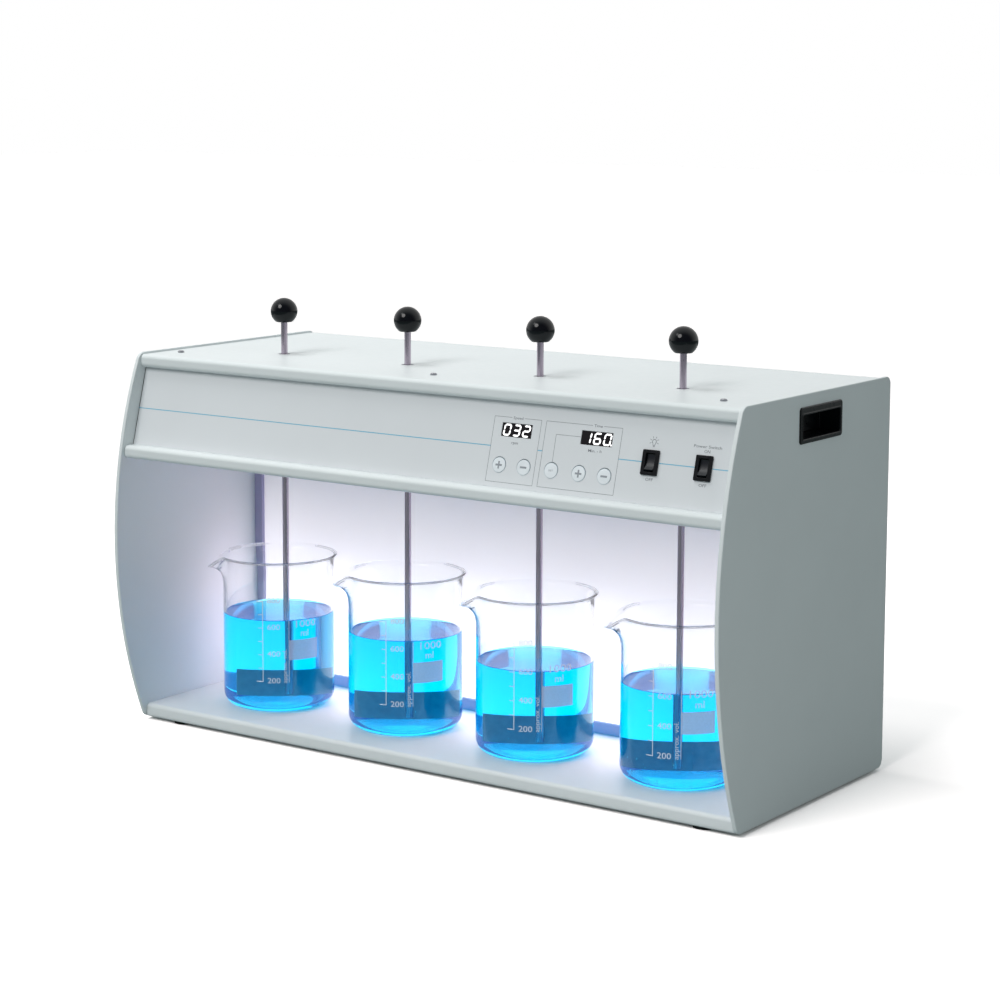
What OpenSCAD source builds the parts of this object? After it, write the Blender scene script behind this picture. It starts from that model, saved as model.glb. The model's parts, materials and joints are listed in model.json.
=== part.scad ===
// Bench jar tester: four stirring stations in a row, in front of a lit panel.
// Millimetres. X runs along the front, Y from front to back, Z is up.
// The origin lies on the bench, below the middle of the body.

/* [Body] */
// Width over the two side panels
body_w = 650; // [600:5:760]
// Depth from the foremost point of the side panels to their rear edge
body_d = 289; // [275:1:330]
// Height of the side panels
panel_h = 347; // [340:1:400]
// Thickness of the side panels
panel_t = 4; // [3:0.5:6]
// Gap between the bench and the side panels
panel_lift = 4; // [3:0.5:8]
// How far the curved front edge of the side panels bulges forward
front_bulge = 35; // [25:1:45]
// Corner radius at the two ends of the curved front edge
front_corner_r = 9; // [5:0.5:14]
// Corner radius at the rear edge
rear_corner_r = 7; // [4:0.5:14]
// How far the cross members stay behind the curved front edge
front_setback = 4; // [2:0.5:8]
// Thickness of the folded sheet parts
sheet_t = 2; // [1.5:0.25:2.5]
// Outer bend radius of the folded sheet parts
bend_r = 4; // [3:0.25:5]

/* [Base] */
// Height of the base tray
base_h = 11; // [10:0.5:16]
// Height of the base tray's underside above the side panels' lower edge
base_raise = 1; // [0.5:0.25:3]
// Depth of the flange that returns under the base tray
base_return = 28; // [24:1:40]
// Radius of the rubber feet
foot_r = 10; // [8:0.5:11]
// Distance of the feet from the ends of the base tray
foot_inset = 36; // [25:1:60]
// Radius of the stem that holds a foot in the base tray
foot_stem_r = 3; // [2:0.25:4]
// How far the bead on a foot's stem stands out
foot_bead = 0.8; // [0.4:0.1:1.2]
// Height of the bead on a foot's stem
foot_bead_h = 1.8; // [1:0.1:2.4]

/* [Head] */
// Height of the head, from its underside to the top cover
head_h = 95; // [92:1:110]
// How far the top cover lies below the side panels' upper edge
cover_drop = 2; // [1:0.5:4]
// Height of the nose that folds down at the front of the top cover
nose_h = 12; // [10:0.5:16]
// Depth of the lip that folds back under the nose
nose_lip = 5.5; // [4.5:0.25:6]
// Height of the lip that folds down at the rear of the top cover
rear_lip_h = 14; // [12:0.5:20]
// Height of the nosing along the front of the head floor
nosing_h = 12; // [10:0.5:16]
// Depth of the nosing
nosing_d = 24; // [22:0.5:30]
// How far the fascia's lower edge lies behind the nosing's front
fascia_low_setback = 11.4; // [9:0.2:14]
// How far the fascia's front lies behind the nose's front, at the nose's underside
fascia_high_setback = 6.4; // [6.2:0.1:9]
// Depth of the flange that carries the top cover at the front
fascia_flange = 38; // [32:1:44]
// Radius of the holes in the top cover for the stirrer rods
rod_hole_r = 5.5; // [4.5:0.25:8]

/* [Fasteners] */
// Distance of the left top cover screw from the left side panel
cover_screw_left = 19; // [12:1:40]
// Middle top cover screw, along the front from the body's middle
cover_screw_middle = -6; // [-30:1:30]
// Distance of the right top cover screw from the right side panel
cover_screw_right = 35; // [12:1:40]
// Distance of the top cover's screws from the rear edge of the fascia's flange
cover_screw_edge = 4; // [3:0.5:6]
// Radius of a screw's head
screw_head_r = 3; // [2.5:0.25:4]
// Height of a screw's head
screw_head_h = 1.8; // [1.2:0.1:2.4]
// Radius of a screw's shank
screw_r = 1.5; // [1:0.25:2]
// Gap around a screw's shank in a cover
screw_gap = 0.2; // [0.1:0.05:0.4]
// How far the rear screws' heads stay in front of the side panels' rear edge
screw_head_inset = 0.2; // [0.1:0.1:1]
// Distance of the rear cover's outer screws from the side panels
rear_screw_inset = 36; // [12:1:60]

/* [Handles] */
// Length of a recessed handle's flange
handle_w = 73; // [65:1:90]
// Height of a recessed handle's flange
handle_h = 30.5; // [28:0.5:34]
// How far the flange laps over the side panel
handle_lap = 2.2; // [1.5:0.1:3]
// Thickness of the flange in front of the side panel
handle_flange_t = 1.5; // [1:0.1:2.5]
// Wall of the cup
handle_wall = 2; // [1.5:0.25:3]
// Upper wall of the cup, which the fingers pull on
handle_top_wall = 4.5; // [3:0.25:6]
// Depth of the cup behind the side panel's outer face
handle_depth = 20; // [16:0.5:24]
// Distance of the handle's middle behind the body's middle
handle_y = 17.5; // [5:0.5:30]
// Distance of the handle's middle below the side panels' upper edge
handle_drop = 26; // [24:0.5:28]
// Corner radius of a handle's flange
handle_corner_r = 3; // [2.5:0.25:5]
// How much smaller each corner radius inside a handle is
handle_corner_step = 1; // [0.5:0.1:1.2]
// Gap between a handle's cup and its hole in the side panel
handle_gap = 0.3; // [0.1:0.05:0.5]

/* [Stirring stations] */
// Distance between neighbouring stirrers
station_pitch = 145; // [130:1:150]
// Distance of the stirrer row in front of the body's middle
station_front = 25; // [20:0.5:30]
// Radius of a stirrer rod
rod_r = 3; // [2.5:0.1:3.5]
// Running clearance between shafts and their bores, on the radius
running_gap = 0.05; // [0.02:0.01:0.08]
// Width of a stirrer's blade
blade_w = 75; // [60:1:78]
// Height of a stirrer's blade
blade_h = 25; // [20:0.5:35]
// Thickness of a stirrer's blade
blade_t = 1.5; // [1:0.1:3]
// Direction of the blades at rest, in degrees from the long axis
blade_angle = 35; // [0:5:90]
// Height of a blade's lower edge above the vessel's floor
blade_clearance = 6; // [4:0.5:15]
// Radius of the hub above a blade
hub_r = 5; // [4:0.25:7]
// Height of the hub above a blade
hub_h = 6; // [4:0.5:12]
// Height of the rod's foot above a blade's lower edge
rod_foot_rise = 2; // [0:0.5:10]
// Radius of a ball knob
knob_r = 12.5; // [10:0.5:15]
// Height of the cap that a ball knob's flat underside cuts off
knob_flat = 2.5; // [1:0.25:4]
// Height of a knob's middle above the top cover
knob_rise = 40; // [30:0.5:55]
// Depth of the rod's seat beyond the knob's middle
knob_seat = 4; // [2:0.5:6]

/* [Spindles and drive] */
// Outer radius of a hollow spindle
spindle_r = 5; // [4.5:0.25:5.5]
// How far a spindle reaches below the head
spindle_low = 4; // [2:0.5:8]
// How far a spindle reaches above its upper bearing
spindle_high = 22; // [10:0.5:26]
// Thickness of a bearing's flange
bearing_flange_t = 3; // [2:0.25:4]
// Radius of a bearing's flange
bearing_flange_r = 16; // [14:0.5:18]
// Radius of a bearing's hub
bearing_r = 11; // [9:0.5:13]
// Height of a bearing with its flange
bearing_h = 9; // [7:0.5:11]
// Radius of a spindle's collar above the lower bearing
collar_r = 7.5; // [6.5:0.25:9]
// Height of a spindle's collar
collar_h = 3; // [2:0.25:4]
// Height of the deck's underside above the head floor
deck_rise = 40; // [38:0.5:44]
// Radius of the pulleys on the spindles
pulley_r = 18; // [15:0.5:20]
// Number of teeth on a spindle pulley
pulley_teeth = 24; // [18:1:30]
// Radius of the motor pulley
motor_pulley_r = 12; // [9:0.5:14]
// Number of teeth on the motor pulley
motor_teeth = 16; // [12:1:20]
// Depth of a pulley tooth
tooth_depth = 1; // [0.5:0.1:1.5]
// How far a pulley's flanges stand past its teeth
flange_rise = 3; // [2.4:0.2:4]
// Thickness of a pulley's flange
flange_t = 1.5; // [1:0.25:2]
// Radius of the idler rollers
idler_r = 9; // [8:0.5:11]
// Distance of the idlers in front of the spindles
idler_front = 15; // [13:0.5:18]
// Radius of the idlers' pins
idler_pin_r = 2.5; // [2:0.25:3]
// Width of the belt
belt_w = 9; // [7:0.5:10]
// Thickness of the belt
belt_t = 1.6; // [1.2:0.1:2]
// Gap between the belt and what it runs on
belt_gap = 0.3; // [0.2:0.05:0.4]
// Distance of the motor behind the spindles
motor_back = 70; // [60:1:76]
// Radius of the motor's gearbox
gearbox_r = 24; // [18:0.5:26]
// Height of the motor's gearbox
gearbox_h = 20; // [14:0.5:22]
// Radius of the motor
motor_r = 18; // [14:0.5:20]
// Height of the motor above its gearbox
motor_h = 24; // [16:0.5:26]
// Radius of the motor's shaft
motor_shaft_r = 3; // [2:0.25:4]
// Length of the motor's shaft inside the gearbox
motor_shaft_seat = 12; // [6:0.5:16]
// How far the motor's shaft reaches below its pulley
motor_shaft_end = 2; // [1:0.5:6]
// Gap around the spindles and the motor's shaft in the sheets they pass
sheet_hole_gap = 1.5; // [1:0.25:2.5]
// How far the deck reaches in front of the spindles
deck_front = 50; // [40:1:60]
// How far the deck reaches behind the motor's gearbox
deck_behind = 14; // [4:1:30]
// Radius of the posts below the deck
post_r = 4; // [3:0.25:6]
// Distance of the posts from the deck's edges
post_inset = 12; // [8:0.5:20]

/* [Lamp box] */
// Depth of the lamp box, from the rear edge to the front of its frame
lamp_box_d = 94; // [88:1:100]
// Height of the frame's rails
rail_h = 10.5; // [8:0.5:16]
// Width of the frame's stiles
stile_w = 9; // [8:0.5:16]
// Depth of the frame
frame_d = 12; // [10:0.5:16]
// Distance of the lit panel behind the frame's front
diffuser_inset = 4.5; // [3:0.25:5.5]
// Thickness of the lit panel
diffuser_t = 3; // [2:0.25:4]
// How far the lit panel reaches into the frame's groove
diffuser_lap = 6; // [4:0.5:7]
// Length of the lamp tubes
lamp_len = 549; // [500:1:590]
// Radius of the lamp tubes
lamp_r = 8; // [6:0.5:10]
// Height of the lower lamp tube above the base
lamp_low = 66; // [40:1:80]
// Distance between the lamp tubes
lamp_pitch = 84; // [60:1:100]
// Distance of the lamp tubes in front of the reflector
lamp_stand = 19; // [15:0.5:22]
// Width of a lamp holder
holder_w = 14; // [12:0.5:20]
// Depth of a lamp's seat in its holder
holder_seat = 8; // [5:0.5:9]
// Wall around a lamp's seat
holder_rim = 3; // [2:0.25:5]
// Distance of the reflector behind the frame's front
reflector_back = 50; // [46:0.5:54]
// Depth of the flanges at the reflector's ends
reflector_flange = 15; // [10:0.5:24]
// Distance of the reflector from the base and from the head
reflector_inset = 14; // [6:1:24]
// Gap around the lit panel in its groove
diffuser_gap = 0.2; // [0.1:0.05:0.4]

/* [Controls] */
// Distance of the power switch's middle from the right side panel
power_switch_right = 30.3; // [20:0.1:32]
// Distance between the lamp switch and the power switch
switch_pitch = 49.9; // [40:0.1:51]
// Distance from the time display's middle to the lamp switch
time_left = 54.5; // [50:0.1:60]
// Distance from the speed display's middle to the time display's
speed_left = 80; // [78:0.1:90]
// Distance from the set button's middle to the time display's
set_left = 39.8; // [38:0.1:42]
// Height of the displays' middle, up the fascia
display_v = 49.2; // [46:0.1:52]
// Width of a display's window
display_w = 30.6; // [26:0.2:34]
// Height of a display's window
display_h = 11.7; // [9:0.1:14]
// Gap between a display and its window
display_gap = 0.25; // [0.2:0.05:0.4]
// How far a display lies behind the fascia's front
display_inset = 0.4; // [0.2:0.1:1]
// Height of the buttons' middle, up the fascia
button_v = 19.25; // [16:0.25:24]
// Distance between a plus button and its minus button
button_pitch = 25; // [22:0.2:27]
// Radius of a button
button_r = 6.6; // [5.5:0.1:7.4]
// Gap around a button
button_gap = 0.3; // [0.25:0.05:0.4]
// How far a button stands proud of the fascia
button_rise = 0.9; // [0.8:0.1:1.6]
// Travel of a button
button_travel = 0.6; // [0.4:0.05:0.7]
// Thickness of a button's rim behind the fascia
button_rim_t = 1; // [0.8:0.1:1.4]
// How far a button's rim laps behind the fascia
button_lap = 1.2; // [0.8:0.1:1.6]
// Height of the switches' middle, up the fascia
switch_v = 34.3; // [31:0.1:38]
// Width of a switch's bezel
bezel_w = 15.6; // [15:0.1:18]
// Height of a switch's bezel
bezel_h = 20.8; // [20.4:0.1:24]
// How far a bezel stands proud of the fascia
bezel_t = 1.8; // [1.2:0.1:2.6]
// Side wall of a switch's housing
switch_wall = 2; // [1.6:0.1:2.2]
// End wall of a switch's housing
switch_end_wall = 1.5; // [1.2:0.1:1.8]
// Width of a rocker
rocker_w = 8; // [7:0.1:8.6]
// Radius that a rocker's ends sweep about its pivot
rocker_sweep_r = 7.3; // [7:0.1:7.6]
// Gap between a rocker and its slot
rocker_gap = 0.3; // [0.25:0.05:0.4]
// Half of a rocker's swing, in degrees
rocker_swing = 11; // [8:1:12]
// Distance of the rocker's pivot behind the fascia's front
rocker_pivot_n = 2; // [1.5:0.1:2.4]
// Radius of a rocker's trunnions
trunnion_r = 1.2; // [0.8:0.1:1.6]
// Distance of the control board behind the fascia's front
board_n = 14; // [12:0.5:16]
// Thickness of the control board
board_t = 1.6; // [1:0.1:2.4]
// Radius of the spacers that hold the control board
spacer_r = 3; // [2:0.25:4]
// Distance of the spacers from the control board's edges
spacer_inset = 5; // [4:0.5:8]
// How far the control board reaches past the outermost buttons
board_margin = 20; // [12:1:22]
// Height of the control board's lower edge, up the fascia
board_v0 = 8; // [4:0.5:10]
// Height of the control board's upper edge, up the fascia
board_v1 = 60; // [58:0.5:66]
// Radius of the key below a button
key_r = 2.5; // [1.5:0.25:4]
// Gap between a pressed button and its key
key_gap = 0.3; // [0.1:0.05:0.5]
// Bevel around a button's face
button_bevel = 0.5; // [0.2:0.1:0.7]
// Gap between a switch's housing and its cut-out
switch_gap = 0.15; // [0.1:0.05:0.3]
// Height of a rocker's ends above its pivot
rocker_end_n = 3.2; // [3:0.1:3.6]
// Height of a rocker's middle above its pivot
rocker_middle_n = 1.7; // [1.4:0.1:2]
// Depth of the hollow in each half of a rocker's face
rocker_hollow = 0.3; // [0:0.05:0.5]
// Depth of a rocker below its pivot
rocker_foot_n = 5; // [3:0.25:5.5]
// Taper of a rocker's ends below its pivot
rocker_taper = 2.5; // [1:0.25:4]
// Wall left outside a trunnion's hole
trunnion_cap = 0.4; // [0.3:0.05:0.8]
// Play at the end of a trunnion
trunnion_play = 0.3; // [0.1:0.05:0.5]

/* [Power] */
// Distance of the power inlet's middle from the right side panel
inlet_side = 71; // [59:1:101]
// Height of the power inlet's middle above the base
inlet_rise = 40; // [34:1:60]
// Width of the power inlet's flange
inlet_flange_w = 32; // [31:0.5:36]
// Height of the power inlet's flange
inlet_flange_h = 25; // [24:0.5:30]
// Width of the power inlet's body
inlet_w = 27; // [26.5:0.25:29]
// Height of the power inlet's body
inlet_h = 19.5; // [19:0.25:22]
// Wall of the power inlet
inlet_wall = 1.5; // [1:0.1:1.8]
// Depth of the power inlet's socket
inlet_socket_d = 17; // [15:0.5:19]
// Length of the power inlet's pins
inlet_pin_len = 11; // [8:0.5:12]
// Width of a pin
pin_w = 2; // [1.5:0.1:2.4]
// Height of a pin
pin_h = 4; // [3:0.25:4.5]
// Distance of the outer pins from the inlet's middle
pin_spread = 7; // [5.5:0.25:8]
// Distance of the outer pins below the inlet's middle
pin_low = 2; // [1:0.25:3]
// Distance of the middle pin above the inlet's middle
pin_high = 3.5; // [2:0.25:4]
// Gap between the power inlet and its cut-out
inlet_gap = 0.2; // [0.1:0.05:0.3]
// Length of the ballast
ballast_w = 150; // [120:5:200]
// Height of the ballast
ballast_h = 30; // [24:1:40]
// Depth of the ballast
ballast_d = 26; // [18:1:32]
// Length of the power supply
supply_w = 110; // [80:5:120]
// Depth of the power supply
supply_d = 52; // [40:1:56]
// Height of the power supply
supply_h = 30; // [20:1:36]
// Gap between the third spindle's bearing and the power supply
supply_gap = 14; // [8:1:18]

/* [Rear vents] */
// Number of slots in a group
vent_count = 12; // [6:1:16]
// Distance between neighbouring slots
vent_pitch = 9; // [7:0.5:11]
// Width of a slot
vent_w = 3; // [2:0.25:4]
// Height of a slot
vent_h = 46; // [30:1:60]
// Distance of the slots' middle below the head
vent_drop = 64; // [50:1:90]
// Distance of the slots' groups from the body's middle
vent_group_x = 170; // [100:5:190]
// Gap between the rear cover and the base tray's lower edge
rear_cover_rise = 0.5; // [0:0.25:3]

/* [Vessels] */
// Outer radius of a vessel
vessel_r = 52.2; // [49:0.2:54]
// Height of a vessel
vessel_h = 144; // [130:1:150]
// Wall of a vessel
vessel_wall = 2.2; // [1.8:0.1:3]
// Thickness of a vessel's floor
vessel_floor = 3; // [2:0.25:4]
// Outer radius at the foot of a vessel's wall
vessel_foot_r = 13; // [8:0.5:16]
// How far a vessel's rim flares out
rim_flare = 3; // [2:0.25:4]
// Height of the flare below a vessel's rim
rim_flare_h = 7; // [5:0.5:10]
// Radius of the bead along a vessel's rim
rim_bead_r = 1.5; // [1.3:0.1:2]
// Distance of the spout's tip from a vessel's axis
spout_reach = 65; // [62:0.5:68]
// How far the spout's tip lies below the rim
spout_drop = 13; // [9:0.5:15]
// Outer radius of the spout's trough
spout_r = 9; // [7:0.5:11]
// Slope of the spout's underside, in degrees
spout_slope = 43; // [35:1:55]
// Direction of the spouts, in degrees from the long axis
spout_angle = 213; // [180:1:240]
// Sideways offset of each vessel from its stirrer
vessel_dx = [-6, 0, 0, 6];
// Forward offset of each vessel from its stirrer
vessel_front = [4, 4, 6, 6];
// Gap below a vessel
seat_gap = 0.1; // [0.05:0.05:0.3]

/* [Hidden] */
$fn = 64;
STATIONS = 4;
eps = 0.01;
past = 1;

// Colours as the photograph shows them
BODY_GREY = [0.85, 0.89, 0.90];
FASCIA_GREY = [0.82, 0.84, 0.85];
STEEL = [0.72, 0.73, 0.75];
BLACK = [0.05, 0.06, 0.07];

// Body
inner_w = body_w - 2 * panel_t;
rear_y = body_d / 2;
panel_z0 = panel_lift;
panel_z1 = panel_lift + panel_h;
panel_mid_z = (panel_z0 + panel_z1) / 2;
arc_r = (front_bulge * front_bulge + panel_h * panel_h / 4) / (2 * front_bulge);
arc_y = arc_r - body_d / 2;
function front_edge_y(z) = arc_y - sqrt(arc_r * arc_r - pow(z - panel_mid_z, 2));

// Heights
base_z0 = panel_z0 + base_raise;
base_top = base_z0 + base_h;
cover_top = panel_z1 - cover_drop;
cover_under = cover_top - sheet_t;
head_z0 = cover_top - head_h;
floor_top = head_z0 + sheet_t;
nosing_top = head_z0 + nosing_h;
nose_z0 = cover_top - nose_h;
deck_z0 = floor_top + deck_rise;
deck_top = deck_z0 + sheet_t;

// Depths
rear_skin_y = rear_y - screw_head_h - screw_head_inset;
rear_inner_y = rear_skin_y - sheet_t;
base_y0 = front_edge_y((base_z0 + base_top) / 2) + front_setback;
nosing_y0 = front_edge_y((head_z0 + nosing_top) / 2) + front_setback;
nose_y0 = front_edge_y((nose_z0 + cover_top) / 2) + front_setback;
frame_y0 = rear_y - lamp_box_d;
frame_y1 = frame_y0 + frame_d;
diffuser_y0 = frame_y0 + diffuser_inset;
reflector_y0 = frame_y0 + reflector_back;
lamp_y = reflector_y0 - lamp_stand;

// Fascia: a frame with X along the front, Y up the fascia and Z out of it
fascia_y0 = nosing_y0 + fascia_low_setback;
fascia_z0 = nosing_top;
fascia_y1 = nose_y0 + fascia_high_setback;
fascia_tilt = atan2(fascia_y1 - fascia_y0, nose_z0 - fascia_z0);
fascia_flange_y0 = fascia_y0 + (cover_under - fascia_z0) * tan(fascia_tilt);
module on_fascia(x = 0, v = 0, n = 0) {
    translate([0, fascia_y0, fascia_z0])
        rotate([90 - fascia_tilt, 0, 0])
            translate([x, v, n])
                children();
}

// Controls along the front
power_switch_x = inner_w / 2 - power_switch_right;
lamp_switch_x = power_switch_x - switch_pitch;
time_x = lamp_switch_x - time_left;
speed_x = time_x - speed_left;
set_x = time_x - set_left;

// Stations
station_y = -station_front;
function station_x(i) = (i - (STATIONS + 1) / 2) * station_pitch;
module at_station(i) {
    translate([station_x(i), station_y, 0])
        children();
}

// Drive: the belt's plane and the stack on a spindle
sheet_hole_r = spindle_r + sheet_hole_gap;
low_bearing_top = floor_top + bearing_h;
collar_z0 = low_bearing_top + running_gap;
pulley_z0 = collar_z0 + collar_h;
belt_z0 = pulley_z0 + flange_t + belt_gap;
pulley_h = belt_w + 2 * (flange_t + belt_gap);
spindle_z0 = head_z0 - spindle_low;
spindle_z1 = deck_top + bearing_h + spindle_high;
motor_y = station_y + motor_back;
idler_y = station_y - idler_front;
function idler_x(i) = (station_x(i) + station_x(i + 1)) / 2;

// Stirrers
vessel_z0 = base_top + seat_gap;
blade_z0 = vessel_z0 + vessel_floor + blade_clearance;
blade_z1 = blade_z0 + blade_h;
knob_z = cover_top + knob_rise;
rod_z1 = knob_z + knob_seat;

// ---------- shared shapes ----------

// A rectangle between two corners, with round corners
module rounded_rect(x0, y0, x1, y1, r) {
    translate([x0 + r, y0])
        square([x1 - x0 - 2 * r, y1 - y0]);
    translate([x0, y0 + r])
        square([x1 - x0, y1 - y0 - 2 * r]);
    for (x = [x0 + r, x1 - r])
        for (y = [y0 + r, y1 - r])
            translate([x, y])
                circle(r = r);
}

// Extrudes an outline in Y and Z along X, about the middle
module along_x(length) {
    rotate([90, 0, 90])
        linear_extrude(height = length, center = true)
            children();
}

// A pan-head screw whose head rests on Z = 0 and whose shank points down
module pan_screw(length) {
    dome_r = 2.2 * screw_head_r;
    intersection() {
        cylinder(r = screw_head_r, h = screw_head_h);
        translate([0, 0, screw_head_h - dome_r])
            sphere(r = dome_r);
    }
    translate([0, 0, -length])
        cylinder(r = screw_r, h = length + eps);
}

// ---------- body ----------

// The region that one front corner's rounding takes away
module front_corner_cut(side) {
    rise = panel_h / 2 - front_corner_r;
    reach = arc_r - front_corner_r;
    centre = [-sqrt(reach * reach - rise * rise), rise];
    tip = centre * (reach + 3 * front_corner_r) / reach;
    translate([arc_y, panel_mid_z])
        scale([1, side])
            difference() {
                polygon([
                    centre,
                    tip,
                    [tip[0], tip[1] + 4 * front_corner_r],
                    [centre[0], tip[1] + 4 * front_corner_r],
                ]);
                translate(centre)
                    circle(r = front_corner_r);
            }
}

module side_outline() {
    difference() {
        intersection() {
            translate([arc_y, panel_mid_z])
                circle(r = arc_r, $fn = 360);
            rounded_rect(-body_d, panel_z0, rear_y, panel_z1, rear_corner_r);
        }
        front_corner_cut(1);
        front_corner_cut(-1);
    }
}

handle_z = panel_z1 - handle_drop;
cup_w = handle_w - 2 * handle_lap;
cup_h = handle_h - 2 * handle_lap;
cup_corner_r = handle_corner_r - handle_corner_step;

module handle_rect(w, h, r) {
    rounded_rect(handle_y - w / 2, handle_z - h / 2, handle_y + w / 2, handle_z + h / 2, r);
}

module side_panel(side) {
    color(BODY_GREY)
        translate([side * (body_w - panel_t) / 2, 0, 0])
            along_x(panel_t)
                difference() {
                    side_outline();
                    handle_rect(cup_w + 2 * handle_gap, cup_h + 2 * handle_gap, cup_corner_r);
                }
}
module side_panel_left() { side_panel(-1); }
module side_panel_right() { side_panel(1); }

// A cup sunk into the side panel, with a flange that laps over it
module handle(side) {
    cup_x = body_w / 2 - handle_depth;
    color(BLACK)
        scale([side, 1, 1])
            difference() {
                union() {
                    translate([(body_w + handle_flange_t) / 2, 0, 0])
                        along_x(handle_flange_t)
                            handle_rect(handle_w, handle_h, handle_corner_r);
                    translate([cup_x + handle_depth / 2, 0, 0])
                        along_x(handle_depth + eps)
                            handle_rect(cup_w, cup_h, cup_corner_r);
                }
                translate([cup_x + handle_wall + body_w / 2, 0,
                           (handle_wall - handle_top_wall) / 2])
                    along_x(body_w)
                        handle_rect(cup_w - 2 * handle_wall,
                                    cup_h - handle_wall - handle_top_wall,
                                    cup_corner_r - handle_corner_step);
            }
}
module handle_left() { handle(-1); }
module handle_right() { handle(1); }

foot_x = inner_w / 2 - foot_inset;
foot_ys = [base_y0 + base_return / 2, rear_inner_y - base_return / 2];
module at_feet() {
    for (x = [-foot_x, foot_x])
        for (y = foot_ys)
            translate([x, y, 0])
                children();
}

rear_screw_pitch = (inner_w - 2 * rear_screw_inset) / 3;
rear_screw_x = [for (k = [-1.5 : 1 : 1.5]) k * rear_screw_pitch];
rear_screw_z = [(base_z0 + base_top) / 2, cover_under - rear_lip_h / 2];
module at_rear_screws(z_list, y) {
    for (x = rear_screw_x)
        for (z = z_list)
            translate([x, y, z])
                rotate([-90, 0, 0])
                    children();
}

// A folded tray: top, lips down at the front and rear, and flanges returned below
module base_plate() {
    color(BODY_GREY)
        difference() {
            along_x(inner_w)
                difference() {
                    rounded_rect(base_y0, base_z0, rear_inner_y, base_top, bend_r);
                    rounded_rect(base_y0 + sheet_t, base_z0 + sheet_t,
                                 rear_inner_y - sheet_t, base_top - sheet_t, bend_r - sheet_t);
                    translate([base_y0 + base_return, base_z0 - past])
                        square([rear_inner_y - base_y0 - 2 * base_return, sheet_t + 2 * past]);
                }
            at_feet()
                translate([0, 0, base_z0 - past])
                    cylinder(r = foot_stem_r + running_gap, h = sheet_t + 2 * past);
            at_rear_screws([rear_screw_z[0]], rear_inner_y - sheet_t - past)
                cylinder(r = screw_r + running_gap, h = sheet_t + 2 * past);
        }
}

// Rubber feet with a stem through the tray and a bead that keeps the stem in
module feet() {
    bead_z0 = base_z0 + sheet_t + running_gap;
    color(BLACK)
        at_feet() {
            cylinder(r = foot_r, h = base_z0);
            cylinder(r = foot_stem_r, h = bead_z0 + foot_bead_h / 2);
            translate([0, 0, bead_z0])
                cylinder(r1 = foot_stem_r + foot_bead, r2 = foot_stem_r - foot_bead,
                         h = foot_bead_h);
        }
}

// The head's floor, with its front folded into the nosing
module head_floor() {
    color(BODY_GREY)
        difference() {
            along_x(inner_w) {
                intersection() {
                    difference() {
                        rounded_rect(nosing_y0, head_z0, nosing_y0 + 2 * nosing_d, nosing_top,
                                     bend_r);
                        rounded_rect(nosing_y0 + sheet_t, floor_top,
                                     nosing_y0 + 3 * nosing_d, nosing_top - sheet_t,
                                     bend_r - sheet_t);
                    }
                    translate([nosing_y0, head_z0])
                        square([nosing_d, nosing_h]);
                }
                translate([nosing_y0 + bend_r, head_z0])
                    square([frame_y1 - nosing_y0 - bend_r, sheet_t]);
            }
            for (i = [1 : STATIONS])
                at_station(i)
                    translate([0, 0, head_z0 - past])
                        cylinder(r = sheet_hole_r, h = sheet_t + 2 * past);
        }
}

// ---------- covers ----------

// The control panel: a leaning fascia with a flange at its top that carries the cover
fascia_flange_y1 = nose_y0 + fascia_flange;
fascia_run_y = sheet_t / cos(fascia_tilt);
module control_panel() {
    lean = tan(fascia_tilt);
    color(FASCIA_GREY)
        difference() {
            along_x(inner_w)
                polygon([
                    [fascia_y0, fascia_z0],
                    [fascia_flange_y0, cover_under],
                    [fascia_flange_y1, cover_under],
                    [fascia_flange_y1, cover_under - sheet_t],
                    [fascia_flange_y0 - sheet_t * lean + fascia_run_y, cover_under - sheet_t],
                    [fascia_y0 + fascia_run_y, fascia_z0],
                ]);
            for (x = [speed_x, time_x])
                on_fascia(x - display_w / 2, display_v - display_h / 2, -2 * sheet_t)
                    cube([display_w, display_h, 4 * sheet_t]);
            for (x = button_xs)
                on_fascia(x, button_v, -2 * sheet_t)
                    cylinder(r = button_r + button_gap, h = 4 * sheet_t);
            for (x = [lamp_switch_x, power_switch_x])
                on_fascia(x - switch_body_w / 2 - switch_gap,
                          switch_v - switch_body_h / 2 - switch_gap, -2 * sheet_t)
                    cube([switch_body_w + 2 * switch_gap, switch_body_h + 2 * switch_gap,
                          4 * sheet_t]);
            at_cover_screws(cover_under - sheet_t - past)
                cylinder(r = screw_r + running_gap, h = sheet_t + 2 * past);
        }
}

cover_screw_x = [
    cover_screw_left - inner_w / 2, cover_screw_middle, inner_w / 2 - cover_screw_right,
];
module at_cover_screws(z) {
    for (x = cover_screw_x)
        translate([x, fascia_flange_y1 - cover_screw_edge, z])
            children();
}

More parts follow.
